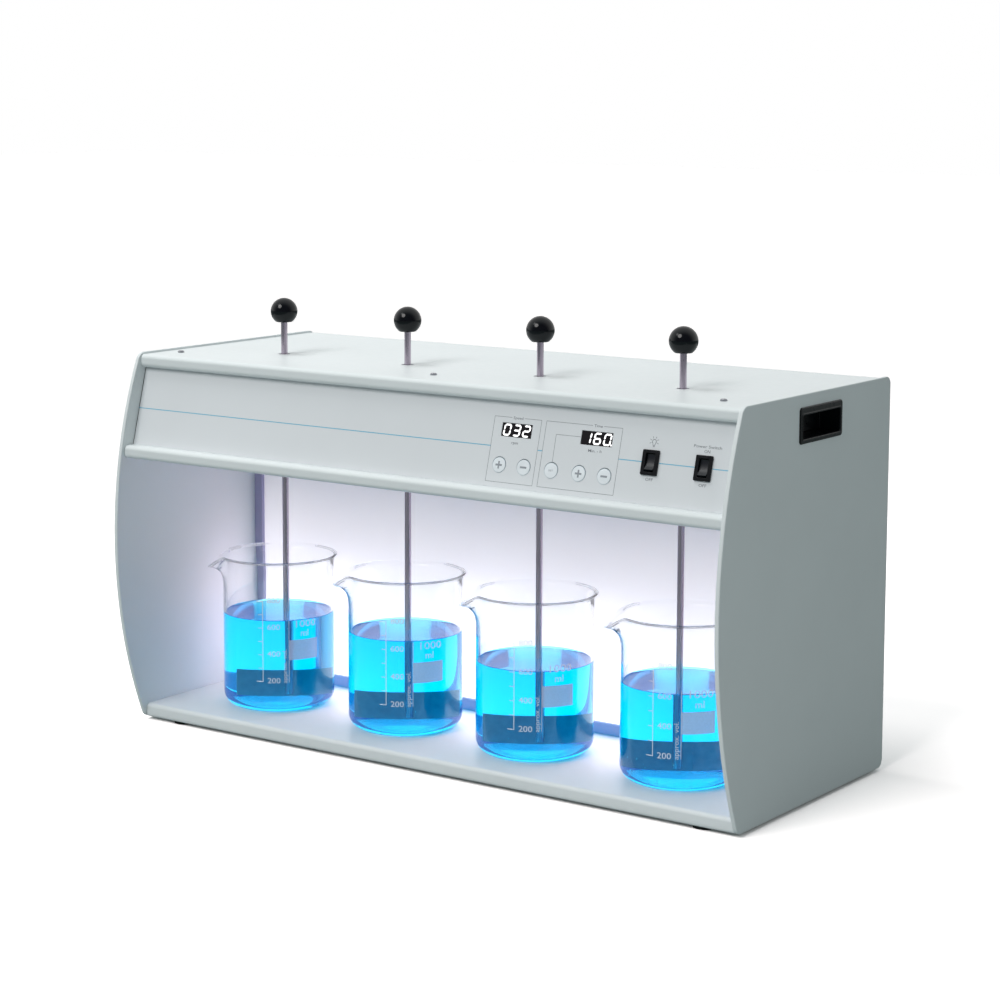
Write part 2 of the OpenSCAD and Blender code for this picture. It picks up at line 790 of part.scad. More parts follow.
// The top cover: a sheet with a nose folded down in front and a lip behind
module top_cover() {
    color(BODY_GREY)
        difference() {
            along_x(inner_w) {
                intersection() {
                    difference() {
                        rounded_rect(nose_y0, nose_z0, nose_y0 + 4 * nose_h, cover_top, bend_r);
                        rounded_rect(nose_y0 + sheet_t, nose_z0 + sheet_t,
                                     nose_y0 + 5 * nose_h, cover_under, bend_r - sheet_t);
                    }
                    translate([nose_y0, nose_z0])
                        square([nose_lip, nose_h]);
                }
                translate([nose_y0 + bend_r, cover_under])
                    square([rear_skin_y - nose_y0 - bend_r, sheet_t]);
                translate([rear_inner_y - sheet_t, cover_under - rear_lip_h])
                    square([sheet_t, rear_lip_h + eps]);
            }
            for (i = [1 : STATIONS])
                at_station(i)
                    translate([0, 0, cover_under - past])
                        cylinder(r = rod_hole_r, h = sheet_t + 2 * past);
            at_cover_screws(cover_under - past)
                cylinder(r = screw_r + screw_gap, h = sheet_t + 2 * past);
            at_rear_screws([rear_screw_z[1]], rear_inner_y - sheet_t - past)
                cylinder(r = screw_r + running_gap, h = sheet_t + 2 * past);
        }
}

rear_cover_z0 = base_z0 + rear_cover_rise;
vent_z = head_z0 - vent_drop;

// The rear cover, with two groups of vents and the inlet's cut-out
module rear_cover() {
    color(BODY_GREY)
        difference() {
            translate([-inner_w / 2, rear_inner_y, rear_cover_z0])
                cube([inner_w, sheet_t, cover_under - rear_cover_z0]);
            for (group = [-vent_group_x, vent_group_x])
                for (k = [0 : vent_count - 1])
                    translate([group + (k - (vent_count - 1) / 2) * vent_pitch - vent_w / 2,
                               rear_inner_y - past, vent_z - vent_h / 2])
                        cube([vent_w, sheet_t + 2 * past, vent_h]);
            translate([inlet_x - inlet_w / 2 - inlet_gap, rear_inner_y - past,
                       inlet_z - inlet_h / 2 - inlet_gap])
                cube([inlet_w + 2 * inlet_gap, sheet_t + 2 * past, inlet_h + 2 * inlet_gap]);
            at_rear_screws(rear_screw_z, rear_inner_y - past)
                cylinder(r = screw_r + screw_gap, h = sheet_t + 2 * past);
        }
}

// Pan-head screws: a row through the top cover, two rows through the rear cover
module cover_screws() {
    shank = 3 * sheet_t;
    color(STEEL) {
        at_cover_screws(cover_top)
            pan_screw(shank);
        at_rear_screws(rear_screw_z, rear_skin_y)
            pan_screw(shank);
    }
}

// ---------- lamp box ----------

// A frame around the lit panel, with a groove that holds the panel's edges
module diffuser_frame() {
    color([0.55, 0.58, 0.68])
        difference() {
            translate([-inner_w / 2, frame_y0, base_top])
                cube([inner_w, frame_d, head_z0 - base_top]);
            translate([-inner_w / 2 + stile_w, frame_y0 - past, base_top + rail_h])
                cube([inner_w - 2 * stile_w, frame_d + 2 * past,
                      head_z0 - base_top - 2 * rail_h]);
            translate([-diffuser_w / 2, diffuser_y0, diffuser_z0] - diffuser_gap * [1, 1, 1])
                cube([diffuser_w, diffuser_t, diffuser_h] + 2 * diffuser_gap * [1, 1, 1]);
        }
}

diffuser_w = inner_w - 2 * (stile_w - diffuser_lap);
diffuser_z0 = base_top + rail_h - diffuser_lap;
diffuser_h = head_z0 - base_top - 2 * (rail_h - diffuser_lap);
module diffuser_panel() {
    color([0.96, 0.96, 1.0])
        translate([-diffuser_w / 2, diffuser_y0, diffuser_z0])
            cube([diffuser_w, diffuser_t, diffuser_h]);
}

reflector_z0 = base_top + reflector_inset;
reflector_z1 = head_z0 - reflector_inset;
// The white sheet behind the lamps, with a flange at each end
module reflector() {
    color("white")
        difference() {
            translate([-inner_w / 2, reflector_y0, reflector_z0])
                cube([inner_w, reflector_flange, reflector_z1 - reflector_z0]);
            translate([-inner_w / 2 + sheet_t, reflector_y0 + sheet_t, reflector_z0 - past])
                cube([inner_w - 2 * sheet_t, reflector_flange,
                      reflector_z1 - reflector_z0 + 2 * past]);
        }
}

module at_lamps() {
    for (k = [0, 1])
        translate([0, lamp_y, base_top + lamp_low + k * lamp_pitch])
            children();
}

module lamp_tubes() {
    color("white")
        at_lamps()
            rotate([0, 90, 0])
                cylinder(r = lamp_r, h = lamp_len, center = true);
}

// A block at each end of each tube, on the reflector, with a seat for the tube's cap
module lamp_holders() {
    reach = lamp_r + holder_rim;
    color([0.9, 0.9, 0.9])
        at_lamps()
            for (side = [-1, 1])
                scale([side, 1, 1])
                    translate([lamp_len / 2 + running_gap - holder_seat, 0, 0])
                        difference() {
                            translate([0, -reach, -reach])
                                cube([holder_w, reach + lamp_stand, 2 * reach]);
                            translate([-past, 0, 0])
                                rotate([0, 90, 0])
                                    cylinder(r = lamp_r + running_gap, h = holder_seat + past);
                        }
}

module ballast() {
    color([0.85, 0.85, 0.85])
        translate([-ballast_w / 2, reflector_y0 + sheet_t,
                   base_top + lamp_low + (lamp_pitch - ballast_h) / 2])
            cube([ballast_w, ballast_d, ballast_h]);
}

// ---------- power ----------

inlet_x = inner_w / 2 - inlet_side;
inlet_z = base_top + inlet_rise;
// The power inlet: a socket in the rear cover with three pins
module power_inlet() {
    pins = [[-pin_spread, -pin_low], [pin_spread, -pin_low], [0, pin_high]];
    color(BLACK)
        translate([inlet_x, rear_y, inlet_z]) {
            difference() {
                union() {
                    translate([-inlet_flange_w / 2, rear_skin_y - rear_y, -inlet_flange_h / 2])
                        cube([inlet_flange_w, rear_y - rear_skin_y, inlet_flange_h]);
                    translate([-inlet_w / 2, -inlet_socket_d - inlet_wall, -inlet_h / 2])
                        cube([inlet_w, inlet_socket_d, inlet_h]);
                }
                translate([-inlet_w / 2 + inlet_wall, -inlet_socket_d, -inlet_h / 2 + inlet_wall])
                    cube([inlet_w - 2 * inlet_wall, inlet_socket_d + past,
                          inlet_h - 2 * inlet_wall]);
            }
            for (p = pins)
                translate([p[0] - pin_w / 2, -inlet_socket_d - eps, p[1] - pin_h / 2])
                    cube([pin_w, inlet_pin_len, pin_h]);
        }
}

module power_supply() {
    color([0.75, 0.76, 0.78])
        translate([station_x(3), station_y + bearing_flange_r + supply_gap, deck_top])
            cube([supply_w, supply_d, supply_h]);
}

// ---------- drive ----------

deck_w = inner_w - 2 * handle_depth;
deck_y0 = station_y - deck_front;
deck_y1 = motor_y + gearbox_r + deck_behind;
// The deck that holds the upper bearings and the motor
module bearing_deck() {
    color(STEEL)
        difference() {
            translate([-deck_w / 2, deck_y0, deck_z0])
                cube([deck_w, deck_y1 - deck_y0, sheet_t]);
            for (i = [1 : STATIONS])
                at_station(i)
                    translate([0, 0, deck_z0 - past])
                        cylinder(r = sheet_hole_r, h = sheet_t + 2 * past);
            translate([0, motor_y, deck_z0 - past])
                cylinder(r = motor_shaft_r + sheet_hole_gap, h = sheet_t + 2 * past);
        }
}

// Posts between the head floor and the deck
module deck_posts() {
    rear_row = min(deck_y1, frame_y1) - post_inset;
    spots = [
        [-deck_w / 2 + post_inset, deck_y0 + post_inset],
        [deck_w / 2 - post_inset, deck_y0 + post_inset],
        [-deck_w / 2 + post_inset, rear_row],
        [deck_w / 2 - post_inset, rear_row],
        [-deck_w / 5, rear_row],
        [deck_w / 5, rear_row],
    ];
    color(STEEL)
        for (p = spots)
            translate([p[0], p[1], floor_top])
                cylinder(r = post_r, h = deck_rise);
}

// Flanged bearings: one on the floor and one on the deck for each spindle
module spindle_bearings() {
    color([0.62, 0.64, 0.67])
        for (i = [1 : STATIONS])
            for (z = [floor_top, deck_top])
                at_station(i)
                    translate([0, 0, z])
                        difference() {
                            union() {
                                cylinder(r = bearing_flange_r, h = bearing_flange_t);
                                cylinder(r = bearing_r, h = bearing_h);
                            }
                            translate([0, 0, -past])
                                cylinder(r = spindle_r + running_gap, h = bearing_h + 2 * past);
                        }
}

// A hollow spindle with the collar that rests on the lower bearing
module spindle(i) {
    color(STEEL)
        at_station(i)
            difference() {
                union() {
                    translate([0, 0, spindle_z0])
                        cylinder(r = spindle_r, h = spindle_z1 - spindle_z0);
                    translate([0, 0, collar_z0])
                        cylinder(r = collar_r, h = collar_h);
                }
                translate([0, 0, spindle_z0 - past])
                    cylinder(r = rod_r + running_gap, h = spindle_z1 - spindle_z0 + 2 * past);
            }
}
module spindle_1() { spindle(1); }
module spindle_2() { spindle(2); }
module spindle_3() { spindle(3); }
module spindle_4() { spindle(4); }

// A toothed pulley between two flanges, on a shaft of radius bore_r
module toothed_pulley(r, teeth, bore_r) {
    difference() {
        union() {
            translate([0, 0, flange_t / 2])
                linear_extrude(height = pulley_h - flange_t)
                    difference() {
                        circle(r = r);
                        for (k = [0 : teeth - 1])
                            rotate(k * 360 / teeth)
                                translate([r, 0])
                                    circle(r = tooth_depth, $fn = 24);
                    }
            for (z = [0, pulley_h - flange_t])
                translate([0, 0, z])
                    cylinder(r = r + flange_rise, h = flange_t);
        }
        translate([0, 0, -past])
            cylinder(r = bore_r, h = pulley_h + 2 * past);
    }
}

module pulley(i) {
    color([0.3, 0.31, 0.33])
        at_station(i)
            translate([0, 0, pulley_z0])
                toothed_pulley(pulley_r, pulley_teeth, spindle_r + eps);
}
module pulley_1() { pulley(1); }
module pulley_2() { pulley(2); }
module pulley_3() { pulley(3); }
module pulley_4() { pulley(4); }

module motor() {
    color([0.25, 0.26, 0.28])
        translate([0, motor_y, deck_top])
            difference() {
                union() {
                    cylinder(r = gearbox_r, h = gearbox_h);
                    cylinder(r = motor_r, h = gearbox_h + motor_h);
                }
                translate([0, 0, -past])
                    cylinder(r = motor_shaft_r + running_gap, h = motor_shaft_seat + 2 * past);
            }
}

// The motor's shaft with the small pulley
module motor_pulley() {
    shaft_z0 = pulley_z0 - motor_shaft_end;
    color(STEEL)
        translate([0, motor_y, 0]) {
            translate([0, 0, shaft_z0])
                cylinder(r = motor_shaft_r, h = deck_top + motor_shaft_seat - shaft_z0);
            translate([0, 0, pulley_z0])
                toothed_pulley(motor_pulley_r, motor_teeth, motor_shaft_r - eps);
        }
}

// Pins from the floor to the deck, each with a shoulder that carries an idler
module idler_pins() {
    color(STEEL)
        for (i = [1 : STATIONS - 1])
            translate([idler_x(i), idler_y, floor_top]) {
                cylinder(r = idler_pin_r, h = deck_rise);
                cylinder(r = 2 * idler_pin_r, h = pulley_z0 - floor_top - running_gap);
            }
}

// A flanged roller that presses the belt onto the pulleys on both sides of it
module idler(i) {
    color([0.9, 0.9, 0.86])
        translate([idler_x(i), idler_y, pulley_z0])
            difference() {
                union() {
                    cylinder(r = idler_r, h = pulley_h);
                    for (z = [0, pulley_h - flange_t])
                        translate([0, 0, z])
                            cylinder(r = idler_r + flange_rise, h = flange_t);
                }
                translate([0, 0, -past])
                    cylinder(r = idler_pin_r + running_gap, h = pulley_h + 2 * past);
            }
}
module idler_1() { idler(1); }
module idler_2() { idler(2); }
module idler_3() { idler(3); }

// The belt's route: wheels [x, y, radius], with a negative radius where it bends outwards
belt_middle = belt_gap + belt_t / 2;
belt_wheels = concat(
    [for (i = [1 : STATIONS - 1])
        for (wheel = [
            [station_x(i), station_y, pulley_r + belt_middle],
            [idler_x(i), idler_y, -idler_r - belt_middle],
        ]) wheel],
    [
        [station_x(STATIONS), station_y, pulley_r + belt_middle],
        [0, motor_y, motor_pulley_r + belt_middle],
    ]
);
// Direction of the straight run from one wheel to the next
function run_angle(a, b) =
    atan2(b[1] - a[1], b[0] - a[0])
    + asin((a[2] - b[2]) / norm([b[0] - a[0], b[1] - a[1]]));
// Points round wheel k, moved outwards by grow
belt_steps = 10;
function wheel_points(k, grow) =
    let (
        count = len(belt_wheels),
        wheel = belt_wheels[k],
        turn_in = run_angle(belt_wheels[(k + count - 1) % count], wheel),
        raw = run_angle(wheel, belt_wheels[(k + 1) % count]) - turn_in,
        sweep = wheel[2] > 0 ? (raw < 0 ? raw + 360 : raw) : (raw > 0 ? raw - 360 : raw),
        r = wheel[2] + grow
    )
    [for (s = [0 : belt_steps])
        let (a = turn_in - 90 + sweep * s / belt_steps)
        [wheel[0] + r * cos(a), wheel[1] + r * sin(a)]];
function belt_outline(grow) =
    [for (k = [0 : len(belt_wheels) - 1]) each wheel_points(k, grow)];

module drive_belt() {
    color([0.12, 0.12, 0.13])
        translate([0, 0, belt_z0])
            linear_extrude(height = belt_w)
                difference() {
                    polygon(belt_outline(belt_t / 2));
                    polygon(belt_outline(-belt_t / 2));
                }
}

// ---------- stirrers ----------

// A rod with a flat blade at its foot
module stirrer(i) {
    color(STEEL)
        at_station(i) {
            translate([0, 0, blade_z0 + rod_foot_rise])
                cylinder(r = rod_r, h = rod_z1 - blade_z0 - rod_foot_rise);
            translate([0, 0, blade_z1 - eps])
                cylinder(r = hub_r, h = hub_h);
            rotate([0, 0, blade_angle])
                translate([-blade_w / 2, -blade_t / 2, blade_z0])
                    cube([blade_w, blade_t, blade_h]);
        }
}
module stirrer_1() { stirrer(1); }
module stirrer_2() { stirrer(2); }
module stirrer_3() { stirrer(3); }
module stirrer_4() { stirrer(4); }

// A ball with a flat underside and a seat for the rod
module knob(i) {
    color(BLACK)
        at_station(i)
            translate([0, 0, knob_z])
                difference() {
                    sphere(r = knob_r);
                    translate([-knob_r, -knob_r, knob_flat - 2 * knob_r])
                        cube([2 * knob_r, 2 * knob_r, knob_r]);
                    translate([0, 0, -2 * knob_r])
                        cylinder(r = rod_r + eps, h = 2 * knob_r + knob_seat);
                }
}
module knob_1() { knob(1); }
module knob_2() { knob(2); }
module knob_3() { knob(3); }
module knob_4() { knob(4); }

// ---------- vessels ----------

// Half section of the vessel's body: radius r, wall foot radius foot, from floor to top
module vessel_section(r, foot, floor, top) {
    translate([0, floor])
        square([r - foot, top - floor]);
    translate([0, floor + foot])
        square([r, top - floor - foot]);
    intersection() {
        translate([r - foot, floor + foot])
            circle(r = foot);
        translate([0, floor])
            square([r, foot]);
    }
}

// A frame on the spout's underside: X up along its slope, Z out of the trough
spout_foot_rho = vessel_r - 1;
spout_len = (spout_reach - spout_foot_rho) / cos(spout_slope);
module on_spout() {
    foot_z = vessel_h - spout_drop - spout_len * sin(spout_slope);
    rotate([0, 0, spout_angle])
        translate([spout_foot_rho, 0, foot_z])
            rotate([0, -spout_slope, 0])
                children();
}

// A trough along the spout's slope: round below, with upright sides above
module spout_trough(wall) {
    reach = 2 * spout_len + 2 * spout_r;
    on_spout()
        translate([-spout_r, 0, spout_r]) {
            rotate([0, 90, 0])
                cylinder(r = spout_r - wall, h = reach);
            translate([0, wall - spout_r, 0])
                cube([reach, 2 * (spout_r - wall), 3 * spout_r]);
        }
}

// What lies above the rim and above the spout's drooping lip
module above_lip() {
    lip_rho = vessel_r + rim_flare;
    droop = atan2(spout_drop, spout_reach - lip_rho);
    rotate([0, 0, spout_angle])
        translate([lip_rho, -2 * spout_r, vessel_h - rim_bead_r])
            rotate([0, droop, 0])
                cube(6 * spout_r * [1, 1, 1]);
    translate([-2 * vessel_r, -2 * vessel_r, vessel_h - rim_bead_r])
        cube([4 * vessel_r, 4 * vessel_r, vessel_h]);
}

// A low glass vessel with a flared, beaded rim and a pouring spout
module vessel(i) {
    inner_r = vessel_r - vessel_wall;
    flare_z = vessel_h - rim_flare_h;
    color([0.85, 0.93, 0.97, 0.4])
        translate([station_x(i) + vessel_dx[i - 1], station_y - vessel_front[i - 1], vessel_z0])
            difference() {
                union() {
                    rotate_extrude($fn = 96)
                        difference() {
                            union() {
                                vessel_section(vessel_r, vessel_foot_r, 0, vessel_h - rim_bead_r);
                                polygon([
                                    [inner_r - past, flare_z - past],
                                    [vessel_r, flare_z - past],
                                    [vessel_r, flare_z],
                                    [vessel_r + rim_flare, vessel_h - rim_bead_r],
                                    [inner_r - past, vessel_h - rim_bead_r],
                                ]);
                                translate([vessel_r + rim_flare - rim_bead_r / 2,
                                           vessel_h - rim_bead_r])
                                    circle(r = rim_bead_r);
                            }
                            vessel_section(inner_r, vessel_foot_r - vessel_wall, vessel_floor,
                                           vessel_h + past);
                            polygon([
                                [0, flare_z],
                                [inner_r, flare_z],
                                [inner_r + rim_flare, vessel_h - rim_bead_r],
                                [inner_r + rim_flare, vessel_h + past],
                                [0, vessel_h + past],
                            ]);
                        }
                    difference() {
                        spout_trough(0);
                        cylinder(r = vessel_r - vessel_wall / 2, h = 2 * vessel_h);
                        above_lip();
                    }
                }
                spout_trough(vessel_wall);
            }
}

module beaker_1() { vessel(1); }
module beaker_2() { vessel(2); }
module beaker_3() { vessel(3); }
module beaker_4() { vessel(4); }

// ---------- controls ----------

speed_up_x = speed_x - button_pitch / 2;
speed_down_x = speed_x + button_pitch / 2;
time_up_x = time_x - button_pitch / 2;
time_down_x = time_x + button_pitch / 2;
button_xs = [speed_up_x, speed_down_x, set_x, time_up_x, time_down_x];

// The board behind the fascia, with spacers and a key below each button
board_x0 = speed_up_x - board_margin;
board_x1 = time_down_x + board_margin;
key_n = sheet_t + button_gap + button_rim_t + button_travel + key_gap;
module control_board() {
    color([0.1, 0.35, 0.2]) {
        on_fascia(board_x0, board_v0, -board_n - board_t)
            cube([board_x1 - board_x0, board_v1 - board_v0, board_t]);
        for (x = [board_x0 + spacer_inset, board_x1 - spacer_inset])
            for (v = [board_v0 + spacer_inset, board_v1 - spacer_inset])
                on_fascia(x, v, -board_n - eps)
                    cylinder(r = spacer_r, h = board_n - sheet_t + eps);
        for (x = button_xs)
            on_fascia(x, button_v, -board_n - eps)
                cylinder(r = key_r, h = board_n - key_n + eps);
    }
}

module display(x) {
    color(BLACK)
        on_fascia(x - display_w / 2 + display_gap, display_v - display_h / 2 + display_gap,
                  -board_n)
            cube([display_w - 2 * display_gap, display_h - 2 * display_gap,
                  board_n - display_inset]);
}
module display_speed() { display(speed_x); }
module display_time() { display(time_x); }

// A round key with a bevelled cap and a rim that keeps it behind the fascia
module button(x) {
    stem_n = sheet_t + button_gap;
    color([0.93, 0.95, 0.96])
        on_fascia(x, button_v, 0) {
            translate([0, 0, -stem_n - eps])
                cylinder(r = button_r, h = stem_n + button_rise - button_bevel + eps);
            translate([0, 0, button_rise - button_bevel])
                cylinder(r1 = button_r, r2 = button_r - button_bevel, h = button_bevel);
            translate([0, 0, -stem_n - button_rim_t])
                cylinder(r = button_r + button_gap + button_lap, h = button_rim_t);
        }
}
module button_speed_up() { button(speed_up_x); }
module button_speed_down() { button(speed_down_x); }
module button_set() { button(set_x); }
module button_time_up() { button(time_up_x); }
module button_time_down() { button(time_down_x); }

// Rocker switches: a bezel and a housing with a slot for the rocker
slot_w = rocker_w + 2 * rocker_gap;
slot_h = 2 * (rocker_sweep_r + rocker_gap);
switch_body_w = slot_w + 2 * switch_wall;
switch_body_h = slot_h + 2 * switch_end_wall;
switch_depth = rocker_pivot_n + rocker_sweep_r + 2 * rocker_gap;
trunnion_hole_w = switch_body_w - 2 * trunnion_cap;
bezel_corner_r = 1;
module switch_housings() {
    color(BLACK)
        for (x = [lamp_switch_x, power_switch_x])
            on_fascia(x, switch_v, 0)
                difference() {
                    union() {
                        linear_extrude(height = bezel_t)
                            rounded_rect(-bezel_w / 2, -bezel_h / 2, bezel_w / 2, bezel_h / 2,
                                         bezel_corner_r);
                        translate([-switch_body_w / 2, -switch_body_h / 2,
                                   -switch_depth - switch_wall])
                            cube([switch_body_w, switch_body_h, switch_depth + switch_wall + eps]);
                    }
                    translate([-slot_w / 2, -slot_h / 2, -switch_depth])
                        cube([slot_w, slot_h, switch_depth + bezel_t + past]);
                    translate([0, 0, -rocker_pivot_n])
                        rotate([0, 90, 0])
                            cylinder(r = trunnion_r + running_gap, h = trunnion_hole_w,
                                     center = true);
                }
}

// A rocker with a hollowed face, on two trunnions, its upper half pressed in
module rocker(x) {
    end_v = sqrt(rocker_sweep_r * rocker_sweep_r - rocker_end_n * rocker_end_n);
    hollow_n = (rocker_end_n + rocker_middle_n) / 2 - rocker_hollow;
    foot_v = rocker_sweep_r - rocker_taper;
    color(BLACK)
        on_fascia(x, switch_v, -rocker_pivot_n)
            rotate([-rocker_swing, 0, 0]) {
                along_x(rocker_w)
                    intersection() {
                        circle(r = rocker_sweep_r);
                        polygon([
                            [-end_v, rocker_end_n],
                            [-end_v / 2, hollow_n],
                            [0, rocker_middle_n],
                            [end_v / 2, hollow_n],
                            [end_v, rocker_end_n],
                            [rocker_sweep_r, 0],
                            [foot_v, -rocker_foot_n],
                            [-foot_v, -rocker_foot_n],
                            [-rocker_sweep_r, 0],
                        ]);
                    }
                rotate([0, 90, 0])
                    cylinder(r = trunnion_r, h = trunnion_hole_w - 2 * trunnion_play,
                             center = true);
            }
}
module rocker_lamp() { rocker(lamp_switch_x); }
module rocker_power() { rocker(power_switch_x); }

side_panel_left();
side_panel_right();
base_plate();
feet();
head_floor();
control_panel();
top_cover();
rear_cover();
cover_screws();
handle_left();
handle_right();
diffuser_frame();
diffuser_panel();
reflector();
lamp_tubes();
lamp_holders();
ballast();
power_inlet();
power_supply();
bearing_deck();
deck_posts();
spindle_bearings();
idler_pins();
motor();
motor_pulley();
drive_belt();
idler_1();
idler_2();
idler_3();
spindle_1();
spindle_2();
spindle_3();
spindle_4();
pulley_1();
pulley_2();
pulley_3();
pulley_4();
stirrer_1();
stirrer_2();
stirrer_3();
stirrer_4();
knob_1();
knob_2();
knob_3();
knob_4();
beaker_1();
beaker_2();
beaker_3();
beaker_4();
control_board();
display_speed();
display_time();
button_speed_up();
button_speed_down();
button_set();
button_time_up();
button_time_down();
switch_housings();
rocker_lamp();
rocker_power();
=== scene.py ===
import json
import math
import random

import bmesh
import bpy
from mathutils import Matrix, Vector

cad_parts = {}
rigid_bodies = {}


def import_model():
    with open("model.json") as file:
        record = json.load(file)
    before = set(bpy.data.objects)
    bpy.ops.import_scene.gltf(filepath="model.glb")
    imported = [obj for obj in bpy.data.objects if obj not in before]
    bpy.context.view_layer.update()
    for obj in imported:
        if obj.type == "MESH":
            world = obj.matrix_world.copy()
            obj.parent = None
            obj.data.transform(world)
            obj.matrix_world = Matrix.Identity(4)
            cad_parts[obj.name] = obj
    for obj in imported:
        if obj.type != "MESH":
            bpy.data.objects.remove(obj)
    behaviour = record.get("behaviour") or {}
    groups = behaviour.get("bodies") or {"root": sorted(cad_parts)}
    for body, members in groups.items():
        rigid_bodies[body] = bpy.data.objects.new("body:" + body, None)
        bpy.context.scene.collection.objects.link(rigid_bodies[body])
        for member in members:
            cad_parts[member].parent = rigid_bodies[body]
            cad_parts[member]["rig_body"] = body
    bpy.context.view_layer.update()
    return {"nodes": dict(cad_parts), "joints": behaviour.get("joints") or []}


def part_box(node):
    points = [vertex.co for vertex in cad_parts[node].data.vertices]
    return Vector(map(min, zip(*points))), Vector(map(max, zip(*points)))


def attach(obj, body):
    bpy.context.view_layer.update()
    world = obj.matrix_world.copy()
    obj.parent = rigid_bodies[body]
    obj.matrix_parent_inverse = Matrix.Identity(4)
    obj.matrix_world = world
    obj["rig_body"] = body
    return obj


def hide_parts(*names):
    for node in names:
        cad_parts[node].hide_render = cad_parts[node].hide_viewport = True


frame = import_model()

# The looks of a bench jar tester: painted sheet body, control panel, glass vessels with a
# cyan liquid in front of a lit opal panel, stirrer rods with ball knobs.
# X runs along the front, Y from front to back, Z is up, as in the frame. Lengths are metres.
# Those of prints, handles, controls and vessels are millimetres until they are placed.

MM = 0.001
JOINTS = {joint["name"]: joint for joint in frame["joints"]}
SCENE = bpy.context.scene
STATIONS = (1, 2, 3, 4)
LIFT = 0.05 * MM  # how far prints stand proud of what they are printed on


def srgb(red, green, blue):
    """A linear RGBA colour from 0-255 display values."""
    def linear(value):
        share = value / 255
        return share / 12.92 if share <= 0.04045 else ((share + 0.055) / 1.055) ** 2.4
    return (linear(red), linear(green), linear(blue), 1.0)


def centre_of(node):
    low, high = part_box(node)
    return (low + high) / 2


# ---------- camera ----------

CAMERA_AT = (1.31494, -1.8386, 0.61418)
CAMERA_YAW = math.radians(35.323)
CAMERA_PITCH = math.radians(-7.423)
CAMERA_ROLL = math.radians(0.181)
CAMERA_LENS = 91.63
CAMERA_SENSOR = 36
CAMERA_SHIFT_Y = -0.1


def add_camera():
    """The camera at the photograph's place and viewing angle."""
    data = bpy.data.cameras.new("camera")
    camera = bpy.data.objects.new("camera", data)
    SCENE.collection.objects.link(camera)
    forward = Vector((
        -math.sin(CAMERA_YAW) * math.cos(CAMERA_PITCH),
        math.cos(CAMERA_YAW) * math.cos(CAMERA_PITCH),
        math.sin(CAMERA_PITCH),
    ))
    level = Vector((math.cos(CAMERA_YAW), math.sin(CAMERA_YAW), 0))
    upright = level.cross(forward)
    right = math.cos(CAMERA_ROLL) * level + math.sin(CAMERA_ROLL) * upright
    up = math.cos(CAMERA_ROLL) * upright - math.sin(CAMERA_ROLL) * level
    axes = Matrix((right, up, -forward)).transposed()
    camera.matrix_world = Matrix.Translation(CAMERA_AT) @ axes.to_4x4()
    data.lens = CAMERA_LENS
    data.sensor_width = CAMERA_SENSOR
    data.sensor_fit = "HORIZONTAL"
    data.shift_y = CAMERA_SHIFT_Y
    data.clip_start = 0.05
    data.clip_end = 60
    SCENE.camera = camera


# ---------- materials ----------

EVEN = (1, 1, 1)
NOISE_REACH = (0.3, 0.7)  # nearly all of a noise's values lie in it


class Nodes:
    """A node tree, with short ways to add nodes and to feed them."""

    def __init__(self, owner):
        owner.use_nodes = True
        self.tree = owner.node_tree

    def feed(self, node, sockets):
        """Gives sockets their values, or joins them to the outputs that drive them."""
        for socket, value in sockets.items():
            if isinstance(value, bpy.types.NodeSocket):
                self.tree.links.new(value, node.inputs[socket])
            else:
                node.inputs[socket].default_value = value

    def node(self, kind, sockets=None, **settings):
        """Adds a node, and gives back its outputs."""
        made = self.tree.nodes.new(kind)
        for key, value in settings.items():
            setattr(made, key, value)
        self.feed(made, sockets or {})
        return made.outputs

    def spread(self, value, low, high, reach, **settings):
        """Maps a value within its reach onto low to high."""
        return self.node("ShaderNodeMapRange", {
            "Value": value, "From Min": reach[0], "From Max": reach[1],
            "To Min": low, "To Max": high}, **settings)["Result"]

    def blend(self, share, first, second):
        """Mixes two colours."""
        return self.node("ShaderNodeMix", {"Factor": share, "A": first, "B": second},
                         data_type="RGBA")["Result"]

    def mix(self, share, first, second):
        """Mixes two shaders."""
        return self.node("ShaderNodeMixShader", {"Fac": share, 1: first, 2: second})["Shader"]

    def maths(self, operation, first, second):
        return self.node("ShaderNodeMath", {0: first, 1: second}, operation=operation)["Value"]


